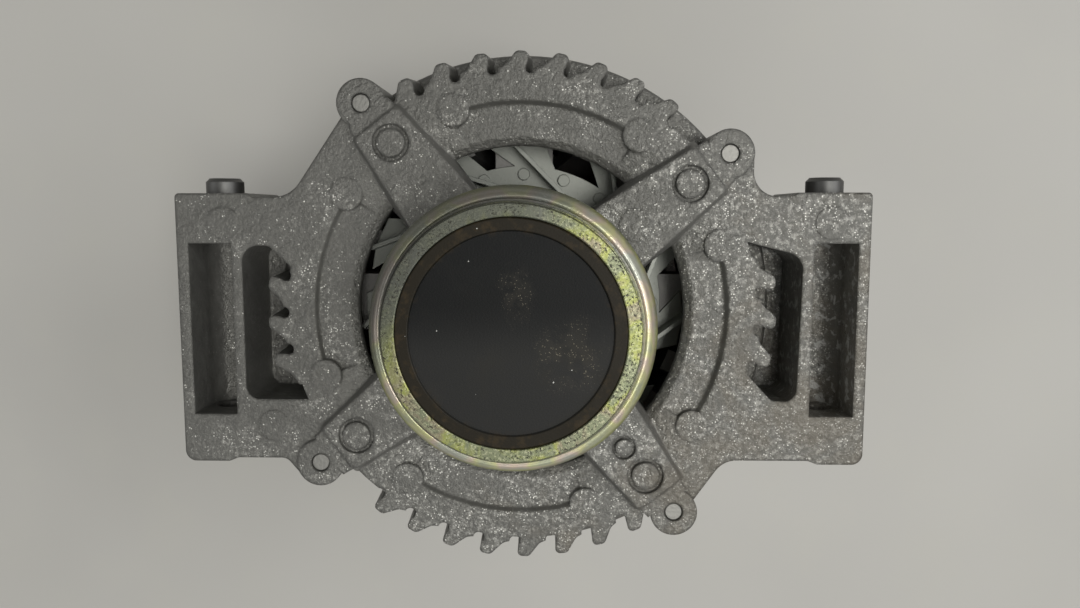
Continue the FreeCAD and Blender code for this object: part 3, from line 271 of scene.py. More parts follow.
def cast_aluminium(name, tone, grain, stain):
    """Blasted casting: tone of the metal, height of its grains in metres, share of stains."""
    material, place = new_finish(name)
    x, y, z = parts_of(place)
    along_shaft = parts_of(place.node("NewGeometry").out("Normal"))[2]
    raised = mask(along_shaft, 0.55, 0.95)
    normal, edge = soft_edges(place, 1.3 * MM)
    grain_and_sparkle = (0.15 + 0.85 * raised) * (1 - 0.6 * edge)

    broad = noise(place, 22 * MM, 3.0)
    blotch = mask(noise(place, 5 * MM, 4.0, 0.6), 0.35, 0.70)
    # drift: the painted sparkle and the dark specks are denser towards the lower right.
    drift = mask(noise(place, 11 * MM, 3.0, 0.6) + 1.5 * x - 1.5 * y, 0.36, 0.60)
    sparkle_speck = mask(noise(place, 1.5 * MM, 3.0, 0.8) + 0.05 * drift, 0.50, 0.74)
    sparkle_speck = sparkle_speck * (0.3 + 0.7 * drift)
    cluster = mask(noise(place, 2.0 * MM, 2.0, 0.7) + 0.10 * drift, 0.56, 0.68)
    painted_glint = dots(place, 0.70 * MM, 0.14, 0.36) * cluster
    dark_speck = mask(noise(place, 1.5 * MM, 3.0, 0.75), 0.58, 0.80)
    oily = mask(noise(place, 16 * MM, 5.0, 0.65, 0.6) + 3.0 * (x - y), 0.62, 0.95) * stain
    crust = mask(noise(place, 2.6 * MM, 3.0, 0.6, 0.5), 0.54, 0.66)
    oxide = crust * trough_floor(x, y, z) * stain

    base = tint(broad, shade(tone, 0.82), shade(tone, 1.10))
    base = tint(blotch * 0.5, base, shade(tone, 1.20))
    base = tint(dark_speck * (0.15 + 0.6 * grain_and_sparkle * drift), base, shade(tone, 0.38))
    # Painted sparkle: bright specks and near-white glints stand for light glittering off the
    # grains.
    base = tint(sparkle_speck * grain_and_sparkle * 0.7, base, shade(tone, 2.8))
    base = tint(painted_glint * grain_and_sparkle * 0.85, base, PAINTED_GLINT_WHITE)
    base = tint(oily * 0.5, base, OIL_BROWN)
    base = tint(oxide * 0.7, base, OXIDE_GREY)

    height = noise(place, 1.1 * MM, 3.0, 0.7) * grain_and_sparkle + noise(place, 3.2 * MM, 2.0) * 0.8
    close_finish(place, Base_Color=base,
                 Metallic=0.45 + 0.27 * raised - 0.25 * oily - 0.4 * oxide,
                 Roughness=0.46 - 0.16 * sparkle_speck + 0.10 * blotch - 0.08 * oily,
                 Normal=bump(height, grain, normal))
    return material


front_casting = cast_aluminium("front_casting", (0.155, 0.153, 0.142), 0.42 * MM, 1.0)
rear_casting = cast_aluminium("rear_casting", (0.28, 0.277, 0.26), 0.20 * MM, 0.3)
print("castings:", front_casting.name, rear_casting.name)

# %% [markdown]
# ## Zones of the pulley
#
# Seen from the front, the pulley is a flat collar round the cap, a step with a dark line of
# painted shade in it, and a rounded nose that runs out into the flange. They are one turned
# solid, so they could only be told apart by cutting it up, or, as here, by masks on the
# distance from the shaft and on the height. The numbers are where a mask is 0 and where it is 1.

# %% Collar, step, nose and front
COLLAR_R = (29.0 * MM, 28.7 * MM)
STEP_INNER_R, STEP_OUTER_R = (28.65 * MM, 28.9 * MM), (29.5 * MM, 29.2 * MM)
NOSE_R, NOSE_Z = (28.8 * MM, 29.3 * MM), (156 * MM, 158 * MM)
FRONT_Z = (154 * MM, 157 * MM)


def pulley_zones(radius, z):
    """Masks of the flat collar, the step beside it, which gets painted shade, the rounded nose,
    and all that is in front.
    """
    front = mask(z, *FRONT_Z)
    step_shade = mask(radius, *STEP_INNER_R) * mask(radius, *STEP_OUTER_R) * front
    nose = mask(radius, *NOSE_R) * mask(z, *NOSE_Z)
    return mask(radius, *COLLAR_R), step_shade, nose, front


print("the collar's outer radius in mm:", round(COLLAR_R[1] / MM, 2))

# %% [markdown]
# ## Yellow zinc on the pulley
#
# The pulley is machined and then plated, and the passivation on the zinc shows as a thin
# film of yellow, green and pink. A shader with real thin-film interference exists, but its
# colours are far too pure for this dull film, so a ramp of the seen colours follows noise
# round the ring. The collar is peppered with black pits and the nose is paler and polished.
# The upper left of the front gets painted shade, which makes it nearly grey, and the step
# between collar and nose gets a dark line of painted shade.

# %% The pulley finish
FILM_COLOURS = [
    (0.34, (0.20, 0.21, 0.16)), (0.46, (0.22, 0.24, 0.15)), (0.54, (0.33, 0.35, 0.12)),
    (0.61, (0.27, 0.24, 0.17)), (0.68, (0.21, 0.23, 0.15)), (0.78, (0.22, 0.22, 0.16))]
NOSE_COLOURS = [
    (0.40, (0.48, 0.50, 0.36)), (0.48, (0.66, 0.65, 0.34)), (0.55, (0.68, 0.55, 0.47)),
    (0.64, (0.50, 0.51, 0.45))]
RIB_OLIVE = (0.28, 0.29, 0.14)
WORN_PALE, EDGE_PALE = (0.62, 0.62, 0.42), (0.55, 0.55, 0.46)
UPPER_LEFT_SHADE_GREY = (0.08, 0.082, 0.078)
STEP_SHADE_BLACK, PIT_BLACK = (0.03, 0.03, 0.028), (0.03, 0.028, 0.02)


def yellow_zinc(name):
    """Plated steel: film colour by place and noise, pits on the collar, fine turning lines, and
    painted shade on the upper left and in the step.
    """
    material, place = new_finish(name)
    x, y, z = parts_of(place)
    radius = from_shaft(x, y)
    collar, step_shade, nose, front = pulley_zones(radius, z)
    normal, edge = soft_edges(place, 0.25 * MM)

    film = noise(place, 14 * MM, 4.0, 0.6, 0.8) + 2.0 * x - 1.5 * y
    wash = noise(place, 10 * MM, 2.0)
    # Painted shade: the front's upper left is darkened, as if turned away from the light.
    away = mask(0.8 * y - 0.6 * x, 3 * MM, 24 * MM) * front
    worn = mask(noise(place, 4 * MM, 3.0, 0.6), 0.30, 0.60)
    pits = mask(noise(place, 0.55 * MM, 2.0, 0.8), 0.55, 0.61) * worn
    pale = mask(noise(place, 0.6 * MM, 2.0, 0.8), 0.52, 0.64) * collar

    colour = film.node("ValToRGB", {"stops": FILM_COLOURS}, film)
    colour = tint(0.65 - 0.65 * front, colour, RIB_OLIVE)
    colour = tint(nose * 0.8, colour, wash.node("ValToRGB", {"stops": NOSE_COLOURS}, wash))
    colour = tint(pale * 0.45, colour, WORN_PALE)
    colour = tint(away * 0.8, colour, UPPER_LEFT_SHADE_GREY)
    # Painted shade: a dark line in the step between collar and nose.
    colour = tint(step_shade * 0.8, colour, STEP_SHADE_BLACK)
    colour = tint(pits * (0.06 + 0.94 * collar), colour, PIT_BLACK)

    turned = noise(place.node("CombineXYZ", None, radius, z, 0.0), 0.25 * MM, 1.0)
    height = turned * 0.3 + noise(place, 0.5 * MM, 2.0) * (0.1 + 0.9 * collar) - pits * 0.8
    close_finish(place, Base_Color=tint(edge * 0.25, colour, EDGE_PALE),
                 Metallic=1.0 - 0.6 * pits - 0.5 * nose,
                 Roughness=0.30 + 0.14 * collar + 0.08 * turned,
                 Normal=bump(height, 0.03 * MM, normal))
    return material


pulley_plating = yellow_zinc("pulley_plating")
print("plating:", pulley_plating.name, "with", len(FILM_COLOURS), "film colours")

# %% [markdown]
# ## The dust cap
#
# The cap is matte black plastic with a rim that has browned. Its lower half is painted a
# little greyer, a painted reflection, and a mottled haze is stronger there too. Pale brown dust
# lies on it in two clusters of tiny specks, a large one right of the middle and a small one
# above the middle. Specks could be strewn as small meshes, but they would be thousands, and
# they have no height to speak of. So they are Voronoi dots in the material, let through only
# inside two ragged patches.

# %% The cap's finish
RIM_R, BROWNED_R = (22.4 * MM, 22.9 * MM), (21 * MM, 23.8 * MM)
RIGHT_CLUSTER, RIGHT_REACH = (13 * MM, -5 * MM), (14 * MM, 5 * MM)
UPPER_CLUSTER, UPPER_REACH = (1 * MM, 9 * MM), (7 * MM, 3 * MM)
CAP_DARK, CAP_LIGHT = (0.0030, 0.0036, 0.0038), (0.0065, 0.0070, 0.0070)
CAP_LOWER_REFLECTION_GREY, CAP_HAZE = (0.024, 0.024, 0.023), (0.030, 0.029, 0.024)
RIM_BROWN, RIM_RUST = (0.016, 0.0125, 0.0065), (0.050, 0.034, 0.015)
DUST_VEIL, DUST_GRAIN, NICK_WHITE = (0.06, 0.053, 0.04), (0.40, 0.36, 0.27), (0.55, 0.55, 0.52)


def ragged_patch(place, centre, squeeze, jag, size, reach):
    """A patch round a centre: the distance in x and squeezed y, made ragged by noise of this
    size, and masked by its reach."""
    x, y, _ = parts_of(place)
    away = ((x - centre[0]) ** 2 + (squeeze * (y - centre[1])) ** 2) ** 0.5
    return mask(away + jag * noise(place, size, 3.0), *reach)


def dust_cap(name):
    """Matte black cap: brown rim, a lower half painted greyer as a painted reflection, two
    clusters of dust, a few pale nicks.
    """
    material, place = new_finish(name)
    x, y, _ = parts_of(place)
    radius = from_shaft(x, y)
    rim = mask(radius, *RIM_R)
    right = ragged_patch(place, RIGHT_CLUSTER, 1.0, 7 * MM, 6 * MM, RIGHT_REACH)
    upper = ragged_patch(place, UPPER_CLUSTER, 0.6, 4 * MM, 5 * MM, UPPER_REACH)
    cluster = right.math("MAXIMUM", right, upper * 0.8)
    settled = mask(noise(place, 3.5 * MM, 2.0, 0.5), 0.36, 0.60)
    grain = dots(place, 0.42 * MM, 0.12, 0.34) * mask(noise(place, 0.8 * MM, 0.0), 0.45, 0.60)
    dust = grain * settled * (0.015 + 0.985 * cluster)
    # The haze is lighter and stronger in the lower half, where it adds to the painted reflection.
    haze = mask(noise(place, 10 * MM, 4.0, 0.65), 0.46, 0.72)
    haze = haze * (0.3 + 0.7 * mask(y, 4 * MM, -6 * MM))
    browned = mask(noise(place, 3 * MM, 4.0, 0.7), 0.48, 0.66) * mask(radius, *BROWNED_R)
    nick = mask(noise(place, 1.4 * MM, 0.0), 0.875, 0.88)

    colour = tint(noise(place, 12 * MM, 3.0), CAP_DARK, CAP_LIGHT)
    # Painted reflection: the lower half is painted greyer.
    colour = tint(mask(y, 7 * MM, -7 * MM) * 0.8, colour, CAP_LOWER_REFLECTION_GREY)
    colour = tint(haze * 0.4, colour, CAP_HAZE)
    colour = tint(rim * 0.9, colour, RIM_BROWN)
    colour = tint(browned * 0.5, colour, RIM_RUST)
    colour = tint(settled * cluster * 0.25, colour, DUST_VEIL)
    colour = tint(dust * 0.8, colour, DUST_GRAIN)
    colour = tint(nick, colour, NICK_WHITE)
    height = noise(place, 0.45 * MM, 3.0) + dust * 1.5
    close_finish(place, Base_Color=colour, Roughness=0.50 + 0.25 * dust + 0.1 * haze,
                 Specular_IOR_Level=0.17, Normal=bump(height, 0.03 * MM))
    return material


cap_plastic = dust_cap("cap_plastic")
print("cap:", cap_plastic.name, "with a rim from radius", round(RIM_R[0] / MM, 1), "mm")

# %% [markdown]
# ## The other mouldings
#
# Rear cover, plug, brush holder and liners are glass-filled plastic: one flat colour would
# look like paint, because real mouldings show a pale mottle where the fibres lie near the
# skin, and slow flow lines from the mould. One function makes them all from a tone, the
# strength of the mottle and a roughness.

# %% Glass-filled plastics
def moulding(name, tone, mottle, rough):
    """Glass-filled plastic: its tone, the strength of its pale mottle, and its roughness."""
    material, place = new_finish(name)
    fibres = mask(noise(place, 1.6 * MM, 4.0, 0.7, 1.2), 0.48, 0.72)
    flow = noise(place, 14 * MM, 3.0, 0.6, 1.5)
    normal, edge = soft_edges(place, 0.35 * MM)
    colour = tint(fibres * mottle, tone, shade(tone, 2.4, 0.02))
    colour = tint(flow * 0.3, colour, shade(tone, 0.6))
    colour = tint(edge * 0.35, colour, shade(tone, 3.0, 0.02))
    height = noise(place, 0.4 * MM, 3.0) + fibres * 0.4
    close_finish(place, Base_Color=colour, Roughness=rough + 0.12 * fibres,
                 Normal=bump(height, 0.03 * MM, normal))
    return material


cover_plastic = moulding("cover_plastic", (0.020, 0.021, 0.022), 0.5, 0.48)
plug_plastic = moulding("plug_plastic", (0.028, 0.028, 0.030), 0.25, 0.36)
holder_plastic = moulding("holder_plastic", (0.040, 0.034, 0.028), 0.4, 0.42)
liner_plastic = moulding("liner_plastic", (0.24, 0.17, 0.09), 0.2, 0.35)
print("mouldings:", [m.name for m in (cover_plastic, plug_plastic, holder_plastic, liner_plastic)])

# %% [markdown]
# ## Plated, forged and drawn steel
#
# Steel pieces differ mostly in how they were finished. A plated bolt has a soft, cloudy
# surface, a forging is dark and scaly, and a sleeve that sits in the weather starts to rust.
# Each could have a material of its own, but they share so much that one function writes them
# all, from a tone, a roughness and the size of the marks.

# %% Steels
RUST_BROWN = (0.16, 0.07, 0.03)


def steel(name, tone, rough, cloud=8 * MM, grain=0.5 * MM, depth=0.02 * MM, rust=0.0,
          edge_tone=1.3):
    """Bare or plated steel: tone, roughness, size of clouds and of grains, depth of the bump,
    share of rust, and how much brighter the edges are."""
    material, place = new_finish(name)
    normal, edge = soft_edges(place, 0.3 * MM)
    clouds = noise(place, cloud, 4.0, 0.6)
    grains = noise(place, grain, 2.0, 0.6)
    rusty = mask(noise(place, 3 * MM, 5.0, 0.7), 0.66 - 0.2 * rust, 0.80 - 0.2 * rust)
    rusty = rusty * min(1.0, rust * 2)
    colour = tint(clouds, shade(tone, 0.75), shade(tone, 1.15))
    colour = tint(mask(grains, 0.6, 0.8) * 0.4, colour, shade(tone, 0.45))
    colour = tint(edge * 0.6, colour, shade(tone, edge_tone, top=0.95))
    colour = tint(rusty, colour, RUST_BROWN)
    close_finish(place, Base_Color=colour, Metallic=1.0 - 0.7 * rusty,
                 Roughness=rough + 0.15 * clouds - 0.05 + 0.25 * rusty,
                 Normal=bump(grains + rusty, depth, normal))
    return material


bolt_zinc = steel("bolt_zinc", (0.33, 0.325, 0.305), 0.52, grain=0.9 * MM, depth=0.12 * MM)
sleeve_steel = steel("sleeve_steel", (0.15, 0.15, 0.146), 0.48, cloud=5 * MM,
                     depth=0.03 * MM, rust=0.1, edge_tone=2.4)
pole_iron = steel("pole_iron", (0.27, 0.265, 0.255), 0.55, cloud=6 * MM, grain=1.0 * MM,
                  depth=0.08 * MM, rust=0.15)
fan_steel = steel("fan_steel", (0.30, 0.31, 0.285), 0.50, cloud=10 * MM, grain=0.9 * MM,
                  depth=0.03 * MM)
spring_wire = steel("spring_wire", (0.62, 0.61, 0.58), 0.25)
diode_shell = steel("diode_shell", (0.66, 0.65, 0.60), 0.30, cloud=3 * MM)
print("steels:", [m.name for m in (bolt_zinc, sleeve_steel, pole_iron, fan_steel, spring_wire,
                                   diode_shell)])

# %% [markdown]
# ## Turned and ground rings
#
# Shaft, hub, bearing rings and slip rings are turned or ground, which leaves fine rings
# round the shaft. An anisotropic shader would stretch their highlight, but it needs a tangent
# on every mesh. Noise that is read in (distance from the shaft, height) draws the rings
# themselves, on any mesh.

# %% Ground and turned metal
def ground_metal(name, tone, rough, pitch=0.18 * MM):
    """Ground or turned round the shaft: noise of this pitch in (radius, height) makes rings."""
    material, place = new_finish(name)
    x, y, z = parts_of(place)
    rings = noise(place.node("CombineXYZ", None, from_shaft(x, y), z, 0.0), pitch, 2.0, 0.7)
    broad = noise(place, 9 * MM, 3.0)
    colour = tint(rings * 0.6 + broad * 0.4, shade(tone, 0.72), shade(tone, 1.15))
    close_finish(place, Base_Color=colour, Metallic=1.0,
                 Roughness=rough + 0.14 * rings + 0.08 * broad,
                 Normal=bump(rings, 0.012 * MM))
    return material


polished_steel = ground_metal("polished_steel", (0.62, 0.62, 0.61), 0.16)
turned_steel = ground_metal("turned_steel", (0.50, 0.50, 0.49), 0.26, 0.30 * MM)
ring_brass = ground_metal("ring_brass", (0.72, 0.43, 0.24), 0.20)
print("rings:", [m.name for m in (polished_steel, turned_steel, ring_brass)])

# %% [markdown]
# ## Laminations, copper and carbon
#
# The stator core is a stack of thin sheets, so its side shows fine lines across the shaft,
# with a little rust between them. Modelling a hundred sheets would cost many faces for lines
# that are seen only from close by, so they are a saw wave of the height. The windings are
# copper under a red-brown enamel, dipped in varnish, which a clear coat stands for. The
# brushes are pressed copper-carbon powder: dark, with faint bright grains.

# %% Stack, wire and brush finishes
SHEET_PITCH = 0.5 * MM


def laminations(name):
    """Electrical steel: lines at the sheets' pitch along the shaft, varnish and rust between."""
    material, place = new_finish(name)
    sheets = parts_of(place)[2] / SHEET_PITCH
    sheet = sheets.math("FRACT", sheets)
    gap = mask(sheet, 0.16, 0.0) + mask(sheet, 0.84, 1.0)
    rust = mask(noise(place, 5 * MM, 5.0, 0.7), 0.52, 0.74)
    colour = tint(noise(place, 7 * MM, 3.0), (0.20, 0.20, 0.205), (0.34, 0.34, 0.34))
    colour = tint(gap * 0.7, colour, (0.04, 0.035, 0.03))
    colour = tint(rust * 0.6, colour, (0.20, 0.10, 0.05))
    close_finish(place, Base_Color=colour, Metallic=0.9 - 0.6 * rust,
                 Roughness=0.42 + 0.25 * rust, Normal=bump(1 - gap, 0.05 * MM))
    return material


def enamelled_copper(name):
    """Winding wire: copper seen through enamel, with a clear varnish that runs and pools."""
    material, place = new_finish(name)
    pools = mask(noise(place, 4 * MM, 3.0, 0.6), 0.45, 0.70)
    colour = tint(noise(place, 2.2 * MM, 4.0), (0.32, 0.095, 0.038), (0.55, 0.20, 0.085))
    colour = tint(pools * 0.6, colour, (0.17, 0.050, 0.022))
    close_finish(place, Base_Color=colour, Metallic=0.75, Roughness=0.34 - 0.1 * pools,
                 Coat_Weight=0.4 + 0.6 * pools, Coat_Roughness=0.12,
                 Normal=bump(noise(place, 0.9 * MM, 2.0) + pools, 0.04 * MM))
    return material


def pressed_carbon(name):
    """Brush block: dark, even powder with faint copper grains."""
    material, place = new_finish(name)
    grains = mask(noise(place, 0.35 * MM, 2.0), 0.60, 0.75)
    colour = tint(grains * 0.5, (0.030, 0.029, 0.030), (0.30, 0.17, 0.10))
    close_finish(place, Base_Color=colour, Metallic=0.3 + 0.5 * grains,
                 Roughness=0.5 - 0.15 * grains,
                 Normal=bump(noise(place, 0.5 * MM, 3.0), 0.04 * MM))
    return material


core_sheets = laminations("core_sheets")
winding_copper = enamelled_copper("winding_copper")
brush_carbon = pressed_carbon("brush_carbon")
print("electrical:", [m.name for m in (core_sheets, winding_copper, brush_carbon)])

# %% [markdown]
# ## Which node wears what
#
# The CAD nodes keep their meshes, so that the picture shows the same part as the solids do.
# Each of them only gets the finish of the real piece, by putting the material into its
# object's slots. One table says who wears what, which is easier to check than a line of code
# for each of the 54 nodes.

# %% Dress the CAD nodes
WORN = {
    front_casting: ["drive_end_frame"],
    rear_casting: ["rear_frame", "negative_heat_sink", "positive_heat_sink"],
    pulley_plating: ["pulley_ring", "shaft_collar"],
    cap_plastic: ["pulley_cap"],
    cover_plastic: ["rear_cover", "output_insulator"],
    plug_plastic: ["connector_socket", "slip_ring_insulator", "regulator"],
    holder_plastic: ["brush_holder", "terminal_moulding", "field_bobbin"],
    liner_plastic: ["pulley_rear_liner", "pulley_front_liner"],
    bolt_zinc: ["through_bolts", "retainer_screws", "rectifier_screws", "cover_studs",
                "cover_nuts", "output_stud", "output_nut", "bearing_retainer_plate"],
    sleeve_steel: ["left_slide_sleeve", "right_slide_sleeve"],
    pole_iron: ["front_claw_pole", "rear_claw_pole"],
    fan_steel: ["front_fan", "rear_fan"],
    spring_wire: ["rear_brush_spring", "front_brush_spring"],
    diode_shell: ["negative_diodes", "positive_diodes"],
    polished_steel: ["front_bearing_inner_ring", "front_bearing_outer_ring",
                     "front_bearing_balls", "rear_bearing_inner_ring",
                     "rear_bearing_outer_ring", "rear_bearing_balls", "clutch_rollers",
                     "clutch_sleeve"],
    turned_steel: ["rotor_shaft", "pulley_hub"],
    ring_brass: ["slip_rings", "connector_pins"],
    core_sheets: ["stator_core"],
    winding_copper: ["front_end_winding", "rear_end_winding", "phase_leads", "field_coil"],
    brush_carbon: ["rear_brush", "front_brush"],
}


def dress(material, names):
    """Puts the material into every slot of the named nodes."""
    for name in names:
        for held in nodes[name].material_slots:
            held.material = material


for worn, names in WORN.items():
    dress(worn, names)
bare = sorted(set(nodes) - {name for names in WORN.values() for name in names})
print("nodes left without a finish:", bare)

# %% [markdown]
# ## Meshes from rings
#
# Wire, bar and thread are all the same kind of shape: a closed outline that is carried along
# a path. A curve with a bevel could draw them, but numpy gives every point at once and lets
# the outline change on the way. So the points are one array of rings, and this step only
# joins each ring to the next and closes the ends.

# %% Tubes, and the pieces made of them
def tube_mesh(name, *groups):
    """Closed tubes from arrays (tube, ring, corner, xyz): a wall quad between each two corners
    of neighbouring rings, and one flat face over each end."""
    faces, sizes, first = [], [], 0
    for rings in groups:
        tubes, count, corners, _ = rings.shape
        index = first + np.arange(tubes * count * corners).reshape(tubes, count, corners)
        here, there = index[:, :-1], index[:, 1:]
        quads = np.stack([here, np.roll(here, -1, 2), np.roll(there, -1, 2), there], -1)
        faces += [quads.ravel(), index[:, 0, ::-1].ravel(), index[:, -1].ravel()]
        sizes += [np.full(quads.size // 4, 4), np.full(2 * tubes, corners)]
        first += index.size
    loops, sizes = np.concatenate(faces), np.concatenate(sizes)
    points = np.concatenate([rings.ravel() for rings in groups])
    mesh = bpy.data.meshes.new(name)
    mesh.vertices.add(first)
    mesh.vertices.foreach_set("co", points.astype(np.float32))
    mesh.loops.add(len(loops))
    mesh.loops.foreach_set("vertex_index", loops.astype(np.int32))
    mesh.polygons.add(len(sizes))
    mesh.polygons.foreach_set("loop_start", (np.cumsum(sizes) - sizes).astype(np.int32))
    mesh.update(calc_edges=True)
    mesh.validate()
    return mesh


def unit(rows):
    """Each row divided by its own length."""
    return rows / np.linalg.norm(rows, axis=1, keepdims=True)


def rings_along(path, outward, beside, section):
    """The section at each point of the path: its first number outward, its second beside."""
    return path[:, None] + section[:, :1] * outward[:, None] + section[:, 1:] * beside[:, None]


def add_piece(name, mesh, material, slot, body, node):
    """Puts a mesh into the scene: its finish, its body and the node it replaces. The slot is not
    used.
    """
    mesh.materials.append(material)
    piece = bpy.data.objects.new(name, mesh)
    bpy.context.scene.collection.objects.link(piece)
    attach(piece, body)
    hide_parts(node)
    print(name, "has", sum(len(face.vertices) - 2 for face in mesh.polygons), "triangles")
    return piece


print("a tube's tools:", tube_mesh.__name__, rings_along.__name__, add_piece.__name__)

# %% [markdown]
# ## One copper hairpin
#
# The stator is wound with hairpins: flat copper bars that rise from one slot, lean round the
# core, cross over at the crown and come down six slots further on. The path of one pin could
# be drawn by hand as a curve. Written as angle, height and radius along the pin, it fits any
# core, and each of the three keeps a meaning that can be measured on a real one.

# %% One hairpin's path, and its copies
SLOTS, SLOTS_SPANNED = 48, 6
BAR_THICK, BAR_WIDE, BAR_CUT = 1.15 * MM, 1.5 * MM, 0.28 * MM
STRAIGHT_SHARE = 0.12
CROWN_ROUND = 0.006
CROSSING = 0.16


def hairpin_path(inner_r, outer_r, rise):
    """Along a pin, u runs from -1 to 1: its angle goes with u over six slots, its height with
    1 - |u|, rounded at the crown, and its radius crosses from layer to layer in the middle."""
    u = np.concatenate([[-1.0], np.linspace(-1, 1, 33), [1.0]])
    angle = math.radians(SLOTS_SPANNED / 2 * 360 / SLOTS) * u
    height = 1 - np.sqrt(u * u + CROWN_ROUND) / math.sqrt(1 + CROWN_ROUND)
    z = rise * (STRAIGHT_SHARE + (1 - STRAIGHT_SHARE) * height)
    z[[0, -1]] = 0
    cross = np.clip((u + CROSSING) / (2 * CROSSING), 0, 1)
    radius = inner_r + (outer_r - inner_r) * cross * cross * (3 - 2 * cross)
    outward = np.stack([np.cos(angle), np.sin(angle), 0 * angle], -1)
    return np.column_stack([radius[:, None] * outward[:, :2], z]), outward


def hairpins(inner_r, outer_r, rise, shift):
    """Rings of all hairpins between two layers: one pin's flat bar with its corners cut, turned
    round the shaft by one slot after another, and by a shift in slots."""
    path, outward = hairpin_path(inner_r, outer_r, rise)
    run = unit(np.gradient(path, axis=0))
    beside = unit(np.cross(run, outward))
    a, b, cut = BAR_THICK / 2, BAR_WIDE / 2, BAR_CUT
    section = np.array([(a, b - cut), (a - cut, b), (cut - a, b), (-a, b - cut),
                        (-a, cut - b), (cut - a, -b), (a - cut, -b), (a, cut - b)])
    rings = rings_along(path, np.cross(beside, run), beside, section)
    turns = np.radians(360 / SLOTS * (np.arange(SLOTS) + shift))
    turned = np.zeros((SLOTS, 3, 3))
    turned[:, 0, 0] = turned[:, 1, 1] = np.cos(turns)
    turned[:, 1, 0], turned[:, 0, 1], turned[:, 2, 2] = np.sin(turns), -np.sin(turns), 1
    return np.einsum("tij,rcj->trci", turned, rings)


sample, _ = hairpin_path(50 * MM, 51 * MM, 10 * MM)
length = np.linalg.norm(np.diff(sample, axis=0), axis=1).sum()
print("a pin that rises 10 mm at a radius of 50 mm is", round(length / MM, 1), "mm long")

# %% [markdown]
# ## Bent copper in the end windings
#
# Two crowns of such pins, one inside the other and half a slot apart, fill the space at each
# end of the core. The CAD keeps each end as one solid with the same outline, because 96 bent
# bars would be slow to check there. Here they take that solid's place, and one array holds
# them all, because they differ only in their angle.

# %% Both ends of the winding
LAYER_STEP, CROWN_STEP, LAYER_GAP = 1.4 * MM, 0.9 * MM, 0.2 * MM


def end_winding(name, node, side):
    """Two crowns of hairpins inside the box of one end winding; side is 1 in front, -1 behind."""
    low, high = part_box(node)
    foot_z = low.z if side > 0 else high.z
    tall = (high.z - low.z) - BAR_WIDE
    outer = high.x - BAR_THICK / 2 - LAYER_GAP
    crowns = [hairpins(outer - LAYER_STEP * (3 - 2 * k), outer - LAYER_STEP * (2 - 2 * k),
                       tall - CROWN_STEP * k, 0.5 * k) for k in (0, 1)]
    rings = np.concatenate(crowns)
    if side < 0:
        rings[..., 1:] *= -1
    rings[..., 2] += foot_z
    add_piece(name, tube_mesh(name, rings), winding_copper, "copper_winding", "housing", node)


end_winding("front_hairpins", "front_end_winding", 1)
end_winding("rear_hairpins", "rear_end_winding", -1)

# %% [markdown] ## Brush springs A coil spring pushes each brush onto its slip ring; as the
# brush wears back, or is pushed back, the spring gets shorter. Here each is a fixed wire helix
# in place of the CAD's solid.

# %% Coil springs for the brushes
WIRE_R = 0.28 * MM
COILS, RINGS, WIRE_CORNERS = 7, 217, 10


def brush_spring(name, node):
    """Round wire on a helix along +X inside the node's box. Its turn grows evenly with the
    share of its length, and its travel grows slower near the ends, where the coils close."""
    low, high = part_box(node)
    coil_r = (high.z - low.z) / 2 - WIRE_R
    share = np.linspace(0, 1, RINGS)
    turn = 2 * np.pi * COILS * share
    slow = 0.5 - 0.5 * np.cos(np.pi * share)
    travel = low.x + WIRE_R + (high.x - low.x - 2 * WIRE_R) * (0.7 * share + 0.3 * slow)
    path = np.stack([travel, coil_r * np.cos(turn), coil_r * np.sin(turn)], -1)
    path[:, 1:] += ((low.y + high.y) / 2, (low.z + high.z) / 2)
    outward = np.stack([0 * turn, np.cos(turn), np.sin(turn)], -1)
    beside = np.cross(unit(np.gradient(path, axis=0)), outward)
    spoke = np.linspace(0, 2 * np.pi, WIRE_CORNERS, endpoint=False)
    section = WIRE_R * np.stack([np.cos(spoke), np.sin(spoke)], -1)
    rings = rings_along(path, outward, beside, section)
    piece = add_piece(name, tube_mesh(name, rings[None]), spring_wire, "spring_steel",
                      "housing", node)
    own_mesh(piece)


brush_spring("rear_spring_coil", "rear_brush_spring")
brush_spring("front_spring_coil", "front_brush_spring")

# %% [markdown]
# ## The battery stud's thread
#
# The stud is an M8 with a rolled thread, and the CAD carries only the thread's outer
# cylinder. A bump could fake the thread, but not its outline against the light. The Screw
# modifier could turn a profile, but it leaves open ends. So the radius of each point follows
# its height and its angle together, which makes a true helix and closes by itself.

# %% A rod with a rolled thread
THREAD_PITCH = 1.25 * MM
RINGS_A_TURN, ROD_CORNERS = 12, 48


def threaded_rod(length, radius, plain, chamfer):
    """Rings of a rod along +Z. The radius follows a flat-topped saw of height / pitch minus
    angle / one turn; it fades in after the plain part and is cut down by the tip's chamfer."""
    z = np.linspace(0, length, int(length / THREAD_PITCH * RINGS_A_TURN) + 1)[:, None]
    angle = np.linspace(0, 2 * np.pi, ROD_CORNERS, endpoint=False)[None]
    phase = (z / THREAD_PITCH - angle / (2 * np.pi)) % 1.0
    saw = 1.24 * THREAD_PITCH * (0.5 - np.abs(phase - 0.5)) - 0.08 * THREAD_PITCH
    depth = np.clip(saw, 0, 0.5 * THREAD_PITCH)
    fade = np.clip((z - plain) / THREAD_PITCH, 0, 1)
    tip = radius - np.clip(z - (length - chamfer), 0, None)
    r = np.minimum(radius - depth * fade, tip)
    return np.stack([r * np.cos(angle), r * np.sin(angle), z + 0 * angle], -1)[None]


STUD_LONG, STUD_R, STUD_PLAIN, STUD_TIP = 38 * MM, 4 * MM, 9 * MM, 1 * MM
rod = threaded_rod(STUD_LONG, STUD_R, STUD_PLAIN, STUD_TIP)
print("rings and corners of the rod:", rod.shape[1:3])

